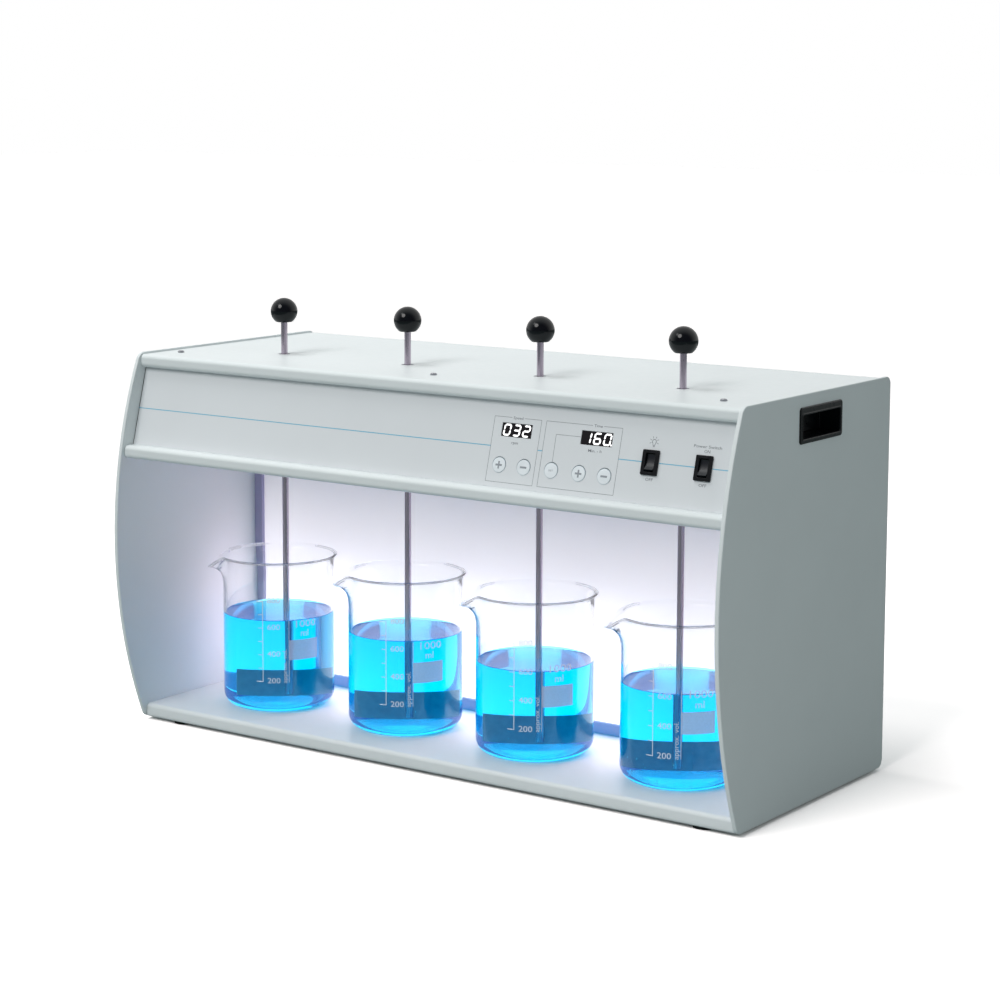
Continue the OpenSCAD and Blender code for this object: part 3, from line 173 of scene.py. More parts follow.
class Surface(Nodes):
    """A Principled material, with short ways to give it colour, roughness and grain."""

    def __init__(self, colour, roughness, metallic=0.0, **sockets):
        self.material = bpy.data.materials.new("surface")
        super().__init__(self.material)
        self.shader = self.tree.nodes["Principled BSDF"]
        self.output = self.tree.nodes["Material Output"]
        self.colour = colour
        self.feed(self.shader, {"Base Color": colour, "Roughness": roughness,
                                "Metallic": metallic})
        self.feed(self.shader, {key.replace("_", " "): value for key, value in sockets.items()})

    def place(self, stretch=EVEN):
        """Places on the piece, in metres, drawn out along an axis where stretch is small."""
        spot = self.node("ShaderNodeTexCoord")["Object"]
        return self.node("ShaderNodeMapping", {"Vector": spot, "Scale": stretch})["Vector"]

    def noise(self, scale, stretch, detail=3.0):
        return self.node("ShaderNodeTexNoise", {
            "Scale": scale, "Detail": detail, "Vector": self.place(stretch)})["Fac"]

    def drift(self, scale, low, high, stretch):
        """A value that drifts between low and high."""
        return self.spread(self.noise(scale, stretch), low, high, NOISE_REACH)

    def mottle(self, scale, amount, stretch=EVEN):
        """Lets the colour drift lighter and darker by amount."""
        darker = [channel * (1 - amount) for channel in self.colour[:3]]
        lighter = [min(1, channel * (1 + amount)) for channel in self.colour[:3]]
        tone = self.blend(self.drift(scale, 0, 1, stretch), (*darker, 1), (*lighter, 1))
        self.feed(self.shader, {"Base Color": tone})
        return self

    def uneven(self, scale, low, high, stretch=EVEN):
        """Lets the roughness drift between low and high."""
        self.feed(self.shader, {"Roughness": self.drift(scale, low, high, stretch)})
        return self

    def grain(self, scale, depth, stretch=EVEN, detail=3.0, strength=1.0):
        """Bumps of this depth in metres."""
        bump = self.node("ShaderNodeBump", {
            "Distance": depth, "Strength": strength,
            "Height": self.noise(scale, stretch, detail)})
        self.feed(self.shader, {"Normal": bump["Normal"]})
        return self

    def light_passes(self, tint):
        """Lets light from lamps through, so that what lies behind glass isn't black."""
        shadow = self.node("ShaderNodeLightPath")["Is Shadow Ray"]
        clear = self.node("ShaderNodeBsdfTransparent", {"Color": tint})["BSDF"]
        self.feed(self.output, {"Surface": self.mix(shadow, self.shader.outputs["BSDF"], clear)})
        return self


def powder_coat(colour, low=0.38, high=0.5):
    """Baked powder paint: a fine orange peel and a hardly visible drift of tone."""
    surface = Surface(colour, low, Specular_IOR_Level=0.35)
    surface.mottle(9, 0.018).uneven(140, low, high)
    return surface.grain(900, 0.014 * MM, detail=2).material


def moulded(colour, low, high, depth=0.01 * MM, gloss=0.5):
    """Moulded plastic with a fine spark-eroded grain."""
    surface = Surface(colour, low, Specular_IOR_Level=gloss)
    return surface.mottle(60, 0.08).uneven(220, low, high).grain(1800, depth).material


def drawn_steel(colour, low, high, stretch, scale=900):
    """Drawn or brushed metal: fine lines along one way."""
    surface = Surface(colour, low, metallic=1.0)
    surface.mottle(scale, 0.14, stretch).uneven(scale / 2, low, high, stretch)
    return surface.grain(scale, 0.006 * MM, stretch).material


def cast_metal(colour, low, high):
    """A turned or cast part with a blotchy, matt metal skin."""
    surface = Surface(colour, low, metallic=0.9)
    surface.mottle(160, 0.1).uneven(300, low, high)
    return surface.grain(1200, 0.012 * MM).material


def rubber(colour):
    surface = Surface(colour, 0.7, Specular_IOR_Level=0.3)
    return surface.mottle(80, 0.15).uneven(200, 0.6, 0.85).grain(1500, 0.03 * MM).material


def printed(colour, roughness=0.5, cover=1.0):
    """Screen print: flat ink. With a cover below 1, what lies behind it shows through."""
    surface = Surface(colour, roughness, Alpha=cover)
    surface.mottle(700, 0.05).uneven(500, roughness - 0.08, roughness + 0.08)
    return surface.grain(2500, 0.004 * MM).material


def clear_glass(cover=1.0):
    """Borosilicate glass, very slightly uneven. A lower cover thins its dark edges."""
    surface = Surface((0.985, 0.995, 0.995, 1), 0.0, Transmission_Weight=1.0, IOR=1.473,
                      Alpha=cover)
    surface.grain(60, 0.02 * MM, stretch=(1, 1, 0.4), detail=1, strength=0.4)
    return surface.light_passes((0.97, 0.98, 0.98, 1)).material


LIQUID_DENSITY = 90
LIQUID_HUE = (0.0, 0.935, 0.987, 1)
# A painted glow: the dyed water gives off this blue light though it is no lamp, and it tints what
# lies behind it
LIQUID_GLOW = (0.0, 0.22, 0.8, 1)
LIQUID_GLOW_STRENGTH = 0.13


def dyed_water():
    """Water with a cyan dye, which deepens with the way that light has gone through it. Its
    emission is a painted blue glow: the water gives off light of its own, though it is no lamp.
    """
    surface = Surface((0.4, 0.985, 1, 1), 0.0, Transmission_Weight=1.0, IOR=1.333,
                      Emission_Color=LIQUID_GLOW, Emission_Strength=LIQUID_GLOW_STRENGTH)
    surface.grain(35, 0.05 * MM, detail=1, strength=0.35)
    depth = surface.node("ShaderNodeVolumeAbsorption",
                         {"Color": LIQUID_HUE, "Density": LIQUID_DENSITY})
    surface.feed(surface.output, {"Volume": depth["Volume"]})
    return surface.light_passes((0.45, 0.82, 0.97, 1)).material


# The lit panel: dim along its top edge, and brighter all the way down
GLOW_TOP = 0.236
GLOW_FOOT = 0.03
GLOW_DIM = 0.14
GLOW_BRIGHT = 1.21
GLOW_TINT = (1.0, 0.93, 0.95, 1)


def opal():
    """Opal acrylic lit from behind, with a glossy face."""
    surface = Surface(srgb(238, 240, 245), 0.12, Emission_Color=GLOW_TINT)
    surface.mottle(4, 0.01).uneven(30, 0.08, 0.16)
    rise = surface.node("ShaderNodeSeparateXYZ", {"Vector": surface.place()})["Z"]
    glow = surface.spread(rise, GLOW_DIM, GLOW_BRIGHT, (GLOW_TOP, GLOW_FOOT))
    surface.feed(surface.shader, {"Emission Strength": glow})
    return surface.material


def glowing(colour, strength):
    """A lit digit or lamp, with a skin that is a little uneven."""
    surface = Surface(colour, 0.4, Emission_Color=colour, Emission_Strength=strength)
    return surface.mottle(500, 0.03).uneven(400, 0.35, 0.5).material


PAINT = srgb(226, 232, 233)
MATERIALS = {
    "side_paint": powder_coat(PAINT),
    "base_paint": powder_coat(PAINT),
    "cover_paint": powder_coat(PAINT),
    "fascia_paint": powder_coat(srgb(222, 226, 229), 0.32, 0.42),
    "rear_paint": powder_coat(PAINT),
    "frame_paint": powder_coat(srgb(176, 172, 205)),
    "motor_paint": powder_coat(srgb(62, 64, 68)),
    "reflector_white": powder_coat(srgb(246, 246, 246)),
    "foot_rubber": rubber(srgb(32, 33, 35)),
    "belt_rubber": rubber(srgb(26, 26, 28)),
    # A painted shadow: this dark skin stands for the shade in the gap at the control panel's left
    # end
    "gap_dark": rubber(srgb(20, 22, 24)),
    "screw_steel": drawn_steel(srgb(150, 153, 158), 0.26, 0.42, EVEN),
    # The rods' purple tint, and part of their lightness, is a painted reflection of the lavender
    # light in the bay; bare steel is grey
    "rod_steel": drawn_steel(srgb(188, 177, 190), 0.16, 0.34, (1, 1, 0.01)),
    "spindle_steel": drawn_steel(srgb(190, 192, 196), 0.2, 0.35, (1, 1, 0.05)),
    "deck_aluminium": drawn_steel(srgb(205, 207, 210), 0.3, 0.48, (0.02, 1, 1)),
    "casing_metal": drawn_steel(srgb(198, 200, 203), 0.35, 0.5, (0.03, 1, 1)),
    "blade_steel": cast_metal(srgb(150, 150, 156), 0.3, 0.4),
    "bearing_aluminium": cast_metal(srgb(186, 189, 194), 0.35, 0.5),
    "black_plastic": moulded(srgb(8, 13, 16), 0.26, 0.4, gloss=0.25),
    "gloss_black": moulded(srgb(14, 21, 27), 0.27, 0.33, 0.002 * MM),
    "knob_plastic": moulded(srgb(6, 12, 15), 0.09, 0.13, 0.001 * MM, gloss=0.3),
    "idler_plastic": moulded(srgb(226, 226, 218), 0.4, 0.5),
    "pulley_plastic": moulded(srgb(70, 72, 76), 0.4, 0.5),
    "white_plastic": moulded(srgb(232, 232, 230), 0.35, 0.45),
    "button_plastic": moulded(srgb(232, 238, 242), 0.28, 0.36, 0.004 * MM),
    "button_rim": moulded(srgb(200, 212, 218), 0.3, 0.4, 0.004 * MM),
    "board_green": moulded(srgb(24, 92, 52), 0.3, 0.45),
    "display_black": moulded(srgb(12, 12, 14), 0.1, 0.16, 0.001 * MM),
    "bubble": moulded(srgb(150, 240, 250), 0.1, 0.2, 0.001 * MM),
    "digit_light": glowing(srgb(255, 255, 255), 1.0),
    "tube_white": glowing(srgb(250, 250, 255), 1.2),
    "opal_acrylic": opal(),
    "beaker_glass": clear_glass(),
    "rim_glass": clear_glass(cover=0.5),
    "dyed_water": dyed_water(),
    "enamel": printed(srgb(236, 240, 246), cover=0.8),
    # The write-on patch is white enamel; its blue is painted light, the lit panel's glow through
    # the cyan liquid behind it
    "write_on_patch": printed(srgb(186, 200, 232), 0.6, cover=0.85),
    "ink_grey": printed(srgb(130, 134, 140)),
    "mark_grey": printed(srgb(152, 158, 164)),
    "ink_blue": printed(srgb(112, 186, 214)),
}
for title, material in MATERIALS.items():
    material.name = title


# ---------- mesh helpers ----------

CREASE = math.radians(50)


def finished(work, name, smooth=True):
    """Turns a bmesh into a mesh with outward normals, smooth but for its sharp edges."""
    bmesh.ops.recalc_face_normals(work, faces=work.faces)
    for face in work.faces:
        face.smooth = smooth
    mesh = bpy.data.meshes.new(name)
    work.to_mesh(mesh)
    work.free()
    if smooth:
        mesh.set_sharp_from_angle(angle=CREASE)
    return mesh


def add_object(name, mesh, material, body, replaced=()):
    """Puts a mesh into the scene as a piece that rides on a body."""
    piece = bpy.data.objects.new(name, mesh)
    SCENE.collection.objects.link(piece)
    for each in [material] if isinstance(material, str) else material:
        mesh.materials.append(MATERIALS[each])
    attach(piece, body)
    if replaced:
        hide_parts(*replaced)
    return piece


def add_piece(name, work, material, body, replaced=(), smooth=True, even=True):
    """Makes a bmesh a piece. Even normals keep large faces flat next to rounded edges."""
    piece = add_object(name, finished(work, name, smooth), material, body, replaced)
    if even:
        modifier = piece.modifiers.new("normals", "WEIGHTED_NORMAL")
        modifier.mode = "FACE_AREA"
        modifier.weight = 100
        modifier.keep_sharp = True


WELD = 0.002 * MM
FLAT = math.radians(0.5)
CORNER = math.radians(28)


def soften(work, edge, segments=2):
    """Rounds every corner of a bmesh."""
    corners = [
        line for line in work.edges
        if len(line.link_faces) == 2 and line.calc_face_angle(0) > CORNER
    ]
    bmesh.ops.bevel(work, geom=corners, offset=edge, segments=segments, profile=0.5,
                    affect="EDGES", clamp_overlap=False)


def dressed(node, material, edge=0.35 * MM, segments=2, reshape=None):
    """A copy of a CAD node with its corners rounded, which stands for the node."""
    source = frame["nodes"][node]
    work = bmesh.new()
    work.from_mesh(source.data)
    bmesh.ops.remove_doubles(work, verts=work.verts, dist=WELD)
    bmesh.ops.dissolve_limit(work, angle_limit=FLAT, verts=work.verts, edges=work.edges)
    if reshape:
        for vertex in work.verts:
            vertex.co = reshape(vertex.co)
    soften(work, edge, segments)
    add_piece(node + "_dressed", work, material, source["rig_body"], [node])


def arc(centre, radius, start, stop, steps):
    """Points on an arc, in degrees."""
    points = []
    for step in range(steps + 1):
        angle = math.radians(start + (stop - start) * step / steps)
        points.append((centre[0] + radius * math.cos(angle),
                       centre[1] + radius * math.sin(angle)))
    return points


def circle(radius, steps):
    return arc((0, 0), radius, 0, 360, steps)[:-1]


def rounded_loop(width, height, radius, steps=6):
    """Outline of a rectangle with round corners, about its middle."""
    points = []
    corners = ((1, 1, 0), (-1, 1, 90), (-1, -1, 180), (1, -1, 270))
    for side, rise, turn in corners:
        centre = (side * (width / 2 - radius), rise * (height / 2 - radius))
        points += arc(centre, radius, turn, turn + 90, steps)
    return points


def loft(work, rings, place, material=0, caps=(True, True)):
    """Joins outlines of equal count, each a list of (x, y) with its depth, by quads."""
    made = [
        [work.verts.new(place(x, y, depth)) for x, y in outline]
        for outline, depth in rings
    ]
    faces = []
    for low, high in zip(made, made[1:]):
        for step in range(len(low)):
            after = (step + 1) % len(low)
            faces.append(work.faces.new((low[step], low[after], high[after], high[step])))
    faces += [work.faces.new(ring) for ring, cap in zip((made[0], made[-1]), caps) if cap]
    for face in faces:
        face.material_index = material
    return made


def lathe(work, profile, place, steps, **more):
    """Turns a list of (radius, depth) about the place's middle."""
    rings = [(circle(radius, steps), depth) for radius, depth in profile]
    return loft(work, rings, place, **more)


def standing(spot):
    """The place for a loft round an upright axis through a spot."""
    return lambda x, y, rise: Vector(spot) + Vector((x, y, rise))


# ---------- prints ----------

LETTER_BOLD = 0.006


def letters(words):
    """The filled outline of words at a size of 1, as (points, faces)."""
    curve = bpy.data.curves.new("letters", "FONT")
    curve.body = words
    curve.align_x = "CENTER"
    curve.align_y = "CENTER"
    curve.fill_mode = "FRONT"
    curve.resolution_u = 3
    curve.offset = LETTER_BOLD
    item = bpy.data.objects.new("letters", curve)
    SCENE.collection.objects.link(item)
    bpy.context.view_layer.update()
    shape = bpy.data.meshes.new_from_object(
        item.evaluated_get(bpy.context.evaluated_depsgraph_get()))
    points = [(vertex.co.x, vertex.co.y) for vertex in shape.vertices]
    faces = [tuple(polygon.vertices) for polygon in shape.polygons]
    bpy.data.objects.remove(item)
    bpy.data.curves.remove(curve)
    bpy.data.meshes.remove(shape)
    return points, faces


def span(values):
    return max(values) - min(values)


CAPITAL = span([y for x, y in letters("H")[0]])


class Ink:
    """Flat print in a plane, in millimetres, laid onto a surface when it is built."""

    def __init__(self):
        self.points = []
        self.faces = []

    def polygon(self, points):
        first = len(self.points)
        self.points += points
        self.faces.append(tuple(range(first, first + len(points))))

    def bar(self, start, end, width):
        """A straight line of this width."""
        along = (Vector(end) - Vector(start)).normalized() * width / 2
        side = Vector((-along.y, along.x))
        self.polygon([tuple(Vector(start) - side), tuple(Vector(end) - side),
                      tuple(Vector(end) + side), tuple(Vector(start) + side)])

    def path(self, points, width):
        for start, end in zip(points, points[1:]):
            self.bar(start, end, width)

    def patch(self, low, high, columns):
        """A rectangle cut into columns, so that it can follow a round wall."""
        step = (high[0] - low[0]) / columns
        for column in range(columns):
            left = low[0] + column * step
            self.polygon([(left, low[1]), (left + step, low[1]),
                          (left + step, high[1]), (left, high[1])])

    def ring(self, centre, radius, width, start=0, stop=360, steps=28):
        outer = arc(centre, radius + width / 2, start, stop, steps)
        inner = arc(centre, radius - width / 2, start, stop, steps)
        for step in range(steps):
            self.polygon([inner[step], outer[step], outer[step + 1], inner[step + 1]])

    def text(self, words, centre, height, width=None, turn=0):
        """Words with capitals of this height, drawn out to a width where one is given."""
        points, faces = letters(words)
        across = [x for x, y in points]
        tall = height / CAPITAL
        wide = width / span(across) if width else tall
        middle = (max(across) + min(across)) / 2
        spin = Matrix.Rotation(math.radians(turn), 2)
        first = len(self.points)
        for x, y in points:
            spot = spin @ Vector(((x - middle) * wide, y * tall))
            self.points.append((centre[0] + spot.x, centre[1] + spot.y))
        self.faces += [tuple(first + index for index in face) for face in faces]

    def build(self, name, place, material, body):
        mesh = bpy.data.meshes.new(name)
        mesh.from_pydata([place(x, y) for x, y in self.points], [], self.faces)
        mesh.validate()
        add_object(name, mesh, material, body)


# ---------- places on the control panel ----------

PRESS = Vector(JOINTS["button_set_press"]["axis"])
FASCIA_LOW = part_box("control_panel")[0]
FASCIA_OUT = -PRESS
FASCIA_UP = FASCIA_OUT.cross(Vector((1, 0, 0)))
FASCIA_FOOT = Vector((0, FASCIA_LOW.y, FASCIA_LOW.z))


def on_fascia(x, rise, out=0.0):
    """A point of the control panel: x along the front, rise up the slope, out of it, in mm."""
    return FASCIA_FOOT + MM * (x * Vector((1, 0, 0)) + rise * FASCIA_UP + out * FASCIA_OUT)


def fascia_print(x, rise):
    return on_fascia(x, rise, LIFT / MM)


def fascia_x(node):
    """The middle of a node along the front, in mm."""
    return centre_of(node).x / MM


def fascia_rise(node):
    """The middle of a node up the slope, in mm."""
    return (centre_of(node) - FASCIA_FOOT).dot(FASCIA_UP) / MM


SPEED_X = fascia_x("display_speed")
TIME_X = fascia_x("display_time")
LAMP_X = fascia_x("rocker_lamp")
POWER_X = fascia_x("rocker_power")
SET_X = fascia_x("button_set")
BUTTON_RISE = fascia_rise("button_set")
DISPLAY_RISE = fascia_rise("display_speed")
FASCIA_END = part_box("control_panel")[1].x / MM
FASCIA_TALL = (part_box("control_panel")[1].z - FASCIA_LOW.z) / FASCIA_UP.z / MM


# ---------- sheet body ----------

SKIRT_DROP = 1.0 * MM
SKIRT_REACH = 8.0 * MM
LIP_DROP = 2.0 * MM
LIP_BEND = 4.0 * MM


def lower_skirt(spot):
    """Draws a side panel's lower edge down, close over the bench."""
    reach = (spot.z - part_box("side_panel_left")[0].z) / SKIRT_REACH
    return spot - Vector((0, 0, SKIRT_DROP * max(0, 1 - reach)))


def crisp_lip(spot):
    """Draws the base tray's front lip down, with a tight lower bend."""
    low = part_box("base_plate")[0]
    depth = (spot.y - low.y) / LIP_BEND
    rise = (spot.z - low.z) / LIP_BEND
    if depth > 1.01 or rise > 1:
        return spot
    return Vector((spot.x, low.y + LIP_BEND * depth ** 2, spot.z - LIP_DROP * (1 - rise)))


def add_sheet_body():
    """The painted sheet parts, each with slightly rounded corners."""
    for side in ("left", "right"):
        dressed("side_panel_" + side, "side_paint", 0.9 * MM, segments=3, reshape=lower_skirt)
    dressed("base_plate", "base_paint", reshape=crisp_lip)
    dressed("head_floor", "cover_paint")
    dressed("top_cover", "cover_paint")
    dressed("control_panel", "fascia_paint", 0.25 * MM)
    dressed("rear_cover", "rear_paint", 0.3 * MM)
    dressed("diffuser_frame", "frame_paint")


# ---------- screws ----------

SCREW_APART = 15 * MM
SCREW_HEAD_R = 2.7 * MM
SCREW_HEAD_H = 1.8 * MM
SCREW_DOME_R = 0.9 * MM
RECESS_ARM = 1.7 * MM
RECESS_WIDTH = 0.75 * MM
RECESS_DEPTH = 1.1 * MM
RECESS_TAPER = 0.6


def screw_head(work, seat, outward, turn):
    """A pan head with a cross recess, seated at a point and facing outward."""
    part = bmesh.new()
    dome = arc((SCREW_HEAD_R - SCREW_DOME_R, SCREW_HEAD_H - SCREW_DOME_R), SCREW_DOME_R, 0, 80, 5)
    rings = lathe(part, [(SCREW_HEAD_R, 0)] + dome, standing((0, 0, 0)), 32, caps=(True, False))
    half = RECESS_WIDTH / 2
    cross = []
    for quarter in range(4):
        spin = Matrix.Rotation(-math.pi / 2 * quarter, 2)
        for spot in ((half, half), (RECESS_ARM, half), (RECESS_ARM, -half)):
            cross.append(spin @ Vector(spot))
    top = [part.verts.new((x, y, SCREW_HEAD_H)) for x, y in cross]
    foot = [part.verts.new((RECESS_TAPER * x, RECESS_TAPER * y, SCREW_HEAD_H - RECESS_DEPTH))
            for x, y in cross]
    for step in range(len(cross)):
        after = (step + 1) % len(cross)
        part.faces.new((top[step], top[after], foot[after], foot[step]))
    part.faces.new(foot)
    rim = [part.edges.get((a, b)) for a, b in zip(rings[-1], rings[-1][1:] + rings[-1][:1])]
    inner = [part.edges.get((a, b)) for a, b in zip(top, top[1:] + top[:1])]
    bmesh.ops.triangle_fill(part, edges=rim + inner, use_beauty=True)
    facing = outward.to_track_quat("Z", "Y").to_matrix().to_4x4()
    part.transform(Matrix.Translation(seat) @ facing @ Matrix.Rotation(turn, 4, "Z"))
    shape = finished(part, "head", smooth=False)
    work.from_mesh(shape)
    bpy.data.meshes.remove(shape)


def clusters(node, reach):
    """The boxes of a node's separate solids, found by how near their points lie."""
    groups = []
    for vertex in frame["nodes"][node].data.vertices:
        near = next((group for group in groups if (group[0] - vertex.co).length < reach), None)
        if near is None:
            near = []
            groups.append(near)
        near.append(vertex.co.copy())
    return [
        [Vector([pick(spot[axis] for spot in group) for axis in range(3)]) for pick in (min, max)]
        for group in groups
    ]


def add_screws():
    """Cross-recessed heads on the screws of the cover and the rear cover."""
    rng = random.Random(4)
    work = bmesh.new()
    rear_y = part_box("rear_cover")[1].y
    for low, high in clusters("cover_screws", SCREW_APART):
        outward = Vector((0, 1, 0)) if high.y > rear_y else Vector((0, 0, 1))
        middle = (low + high) / 2
        seat = middle + outward * ((high - middle).dot(outward) - SCREW_HEAD_H)
        screw_head(work, seat, outward, rng.uniform(0, math.pi))
    add_piece("screw_heads", work, "screw_steel", "root", smooth=False, even=False)


# ---------- handles ----------

HANDLE_BAND_TOP = 6.7
HANDLE_BAND_LOW = 4.2
HANDLE_BAND_SIDE = 4.2
# Sections of (growth of the outline, corner radius, depth): the flange's edge and face,
# and the raised lip round the opening
FLANGE_SECTION = (
    (-1.2, 2.2, -1.8), (0, 3.0, -1.5), (0, 3.0, -1.0), (-0.25, 2.8, -0.5), (-0.9, 2.4, -0.25),
)
LIP_SECTION = (
    (1.9, 2.6, -0.3), (1.6, 2.4, -0.2), (1.3, 2.2, 0), (0.7, 1.9, 0), (0.3, 1.6, -0.25),
    (0, 1.4, -1.0),
)
CUP_FLOOR = 2.0


def add_handle(side):
    """A recessed grip: a flange with a soft edge, a raised lip and a deep dark cup."""
    node = "handle_left" if side < 0 else "handle_right"
    low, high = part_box(node)
    middle = centre_of(node) / MM
    flange_x = max(abs(low.x), abs(high.x)) / MM
    cup = min(abs(low.x), abs(high.x)) / MM + CUP_FLOOR - flange_x
    width = (high.y - low.y) / MM
    height = (high.z - low.z) / MM
    flange = (width, height, 0)
    opening = (width - 2 * HANDLE_BAND_SIDE, height - HANDLE_BAND_TOP - HANDLE_BAND_LOW,
               (HANDLE_BAND_LOW - HANDLE_BAND_TOP) / 2)

    def place(along, rise, depth):
        return Vector((side * (flange_x + depth), middle.y + along, middle.z + rise)) * MM

    def ring(size, grow, radius, depth):
        wide, tall, shift = size
        loop = rounded_loop(wide + 2 * grow, tall + 2 * grow, radius)
        return [(x, y + shift) for x, y in loop], depth

    rings = [ring(flange, *step) for step in FLANGE_SECTION]
    rings += [ring(opening, *step) for step in LIP_SECTION]
    rings += [ring(opening, -0.5, 1.2, cup + 1.0), ring(opening, -1.2, 1.0, cup)]
    work = bmesh.new()
    loft(work, rings, place, caps=(False, True))
    shell = [ring(flange, -2.4, 1.6, depth) for depth in (FLANGE_SECTION[0][2], cup - 2)]
    loft(work, shell, place, caps=(False, True))
    add_piece(node + "_grip", work, "black_plastic", "root", [node])


# ---------- controls ----------

ROCKER_W = 8.0
ROCKER_SWEEP = 7.3
ROCKER_END = 3.2
ROCKER_MIDDLE = 1.7
ROCKER_FOOT = 5.0
ROCKER_FOOT_HALF = 4.8
ROCKER_SWING = math.radians(11)
TRUNNION_R = 1.0
TRUNNION_REACH = 1.4


def add_rocker(name):
    """A rocker with one smooth hollow along its face, on two trunnions."""
    node = "rocker_" + name
    pivot = Vector(JOINTS[node + "_tilt"]["pos_m"])
    middle = fascia_x(node) * MM
    end = math.sqrt(ROCKER_SWEEP ** 2 - ROCKER_END ** 2)
    sag = ROCKER_END - ROCKER_MIDDLE
    hollow = (end ** 2 + sag ** 2) / (2 * sag)
    half = math.degrees(math.asin(end / hollow))
    start = math.degrees(math.atan2(ROCKER_END, end))
    outline = arc((0, ROCKER_MIDDLE + hollow), hollow, -90 - half, -90 + half, 20)
    outline += arc((0, 0), ROCKER_SWEEP, start, 0, 4)[1:]
    outline += [(ROCKER_FOOT_HALF, -ROCKER_FOOT), (-ROCKER_FOOT_HALF, -ROCKER_FOOT)]
    outline += arc((0, 0), ROCKER_SWEEP, 180, 180 - start, 4)[:-1]
    turn = Matrix.Rotation(-ROCKER_SWING, 2)

    def place(rise, out, along):
        rise, out = turn @ Vector((rise, out))
        spot = Vector((middle + along * MM, pivot.y, pivot.z))
        return spot + MM * (rise * FASCIA_UP + out * FASCIA_OUT)

    work = bmesh.new()
    loft(work, [(outline, -ROCKER_W / 2), (outline, ROCKER_W / 2)], place)
    soften(work, 0.35 * MM, 3)
    pin = circle(TRUNNION_R, 24)
    for side in (-1, 1):
        loft(work, [(pin, side * (ROCKER_W / 2 - 0.5)),
                    (pin, side * (ROCKER_W / 2 + TRUNNION_REACH))], place)
    add_piece(node + "_key", work, "gloss_black", frame["nodes"][node]["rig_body"],
              [node])


def add_switches():
    """Housings with soft bezels, and their rockers."""
    dressed("switch_housings", "black_plastic", 0.45 * MM, segments=3)
    add_rocker("lamp")
    add_rocker("power")


BUTTON_PROUD = 0.5
# Sections of (radius, height over the control panel)
BUTTON_RIM = ((7.5, -3.2), (7.5, -2.4), (6.6, -2.3), (6.6, 0.1), (6.5, 0.28), (6.2, 0.33))
BUTTON_CAP = ((6.2, 0.33), (6.05, 0.4), (5.4, 0.44), (3.6, 0.48), (1.8, BUTTON_PROUD))
MARK_ARM = 3.2
MARK_WIDTH = 1.6
MARK_LIFT = 0.06


def add_button(node):
    """A slightly domed cap with a grey rim and its mark: a plus, a minus or a word."""
    x = fascia_x(node)
    rise = BUTTON_RISE
    body = frame["nodes"][node]["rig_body"]

    def place(across, up, out):
        return on_fascia(x + across, rise + up, out)

    work = bmesh.new()
    lathe(work, BUTTON_RIM, place, 48, material=1, caps=(False, False))
    lathe(work, BUTTON_CAP, place, 48, caps=(False, True))
    bmesh.ops.remove_doubles(work, verts=work.verts, dist=WELD)
    add_piece(node + "_cap", work, ["button_plastic", "button_rim"], body,
              [node])
    ink = Ink()
    if node == "button_set":
        ink.text("SET", (x, rise), 1.5, width=4.6)
    else:
        ink.bar((x - MARK_ARM, rise), (x + MARK_ARM, rise), MARK_WIDTH)
    if node.endswith("_up"):
        for side in (-1, 1):
            ink.bar((x, rise + side * MARK_WIDTH / 2), (x, rise + side * MARK_ARM),
                    MARK_WIDTH)
    ink.build(node + "_mark", lambda a, b: on_fascia(a, b, BUTTON_PROUD + MARK_LIFT),
              "mark_grey", body)


SEGMENTS_LIT = {"0": "abcdef", "1": "bc", "2": "abged", "3": "abgcd", "6": "acdefg"}
DIGIT_W = 7.4
DIGIT_H = 10.2
DIGIT_PITCH = 9.74
DIGIT_SLANT = 0.13
SEGMENT = 1.5
SEGMENT_GAP = 0.12


def digit(ink, figure, x, y):
    """A seven-segment figure whose middle is at (x, y), leaning to the right."""
    wide = DIGIT_W / 2 - SEGMENT / 2
    tall = DIGIT_H / 2 - SEGMENT / 2
    tip = SEGMENT / 2
    gap = tip + SEGMENT_GAP
    level = {"a": tall, "g": 0, "d": -tall}
    upright = {"f": (-wide, 1), "b": (wide, 1), "e": (-wide, -1), "c": (wide, -1)}

    def lean(points):
        return [(x + px + DIGIT_SLANT * py, y + py) for px, py in points]

    for name in SEGMENTS_LIT[figure]:
        if name in level:
            rise = level[name]
            ink.polygon(lean([
                (-wide + gap - tip, rise), (-wide + gap, rise - tip), (wide - gap, rise - tip),
                (wide - gap + tip, rise), (wide - gap, rise + tip), (-wide + gap, rise + tip)]))
        else:
            side, half = upright[name]
            low = gap if half > 0 else -tall + gap
            high = tall - gap if half > 0 else -gap
            ink.polygon(lean([
                (side, low - tip), (side + tip, low), (side + tip, high),
                (side, high + tip), (side - tip, high), (side - tip, low)]))


DIGIT_DEPTH = -0.35
TIME_SHIFT = 0.7
DOT_X = 13.6
DOT_RISE = 0.8
DOT_R = 0.4


def add_displays():
    """Dark windows behind the panel's cut-outs, with their lit figures."""
    for name, middle, figures in (
        ("speed", SPEED_X, "032"),
        ("time", TIME_X + TIME_SHIFT, "160"),
    ):
        dressed("display_" + name, "display_black", 0.15 * MM)
        ink = Ink()
        for place, figure in enumerate(figures):
            digit(ink, figure, middle + (place - 1) * DIGIT_PITCH, DISPLAY_RISE)
        if name == "time":
            ink.ring((middle + DOT_X, DISPLAY_RISE - DIGIT_H / 2 + DOT_RISE), DOT_R, 2 * DOT_R)
        ink.build("digits_" + name, lambda a, b: on_fascia(a, b, DIGIT_DEPTH),
                  "digit_light", "root")


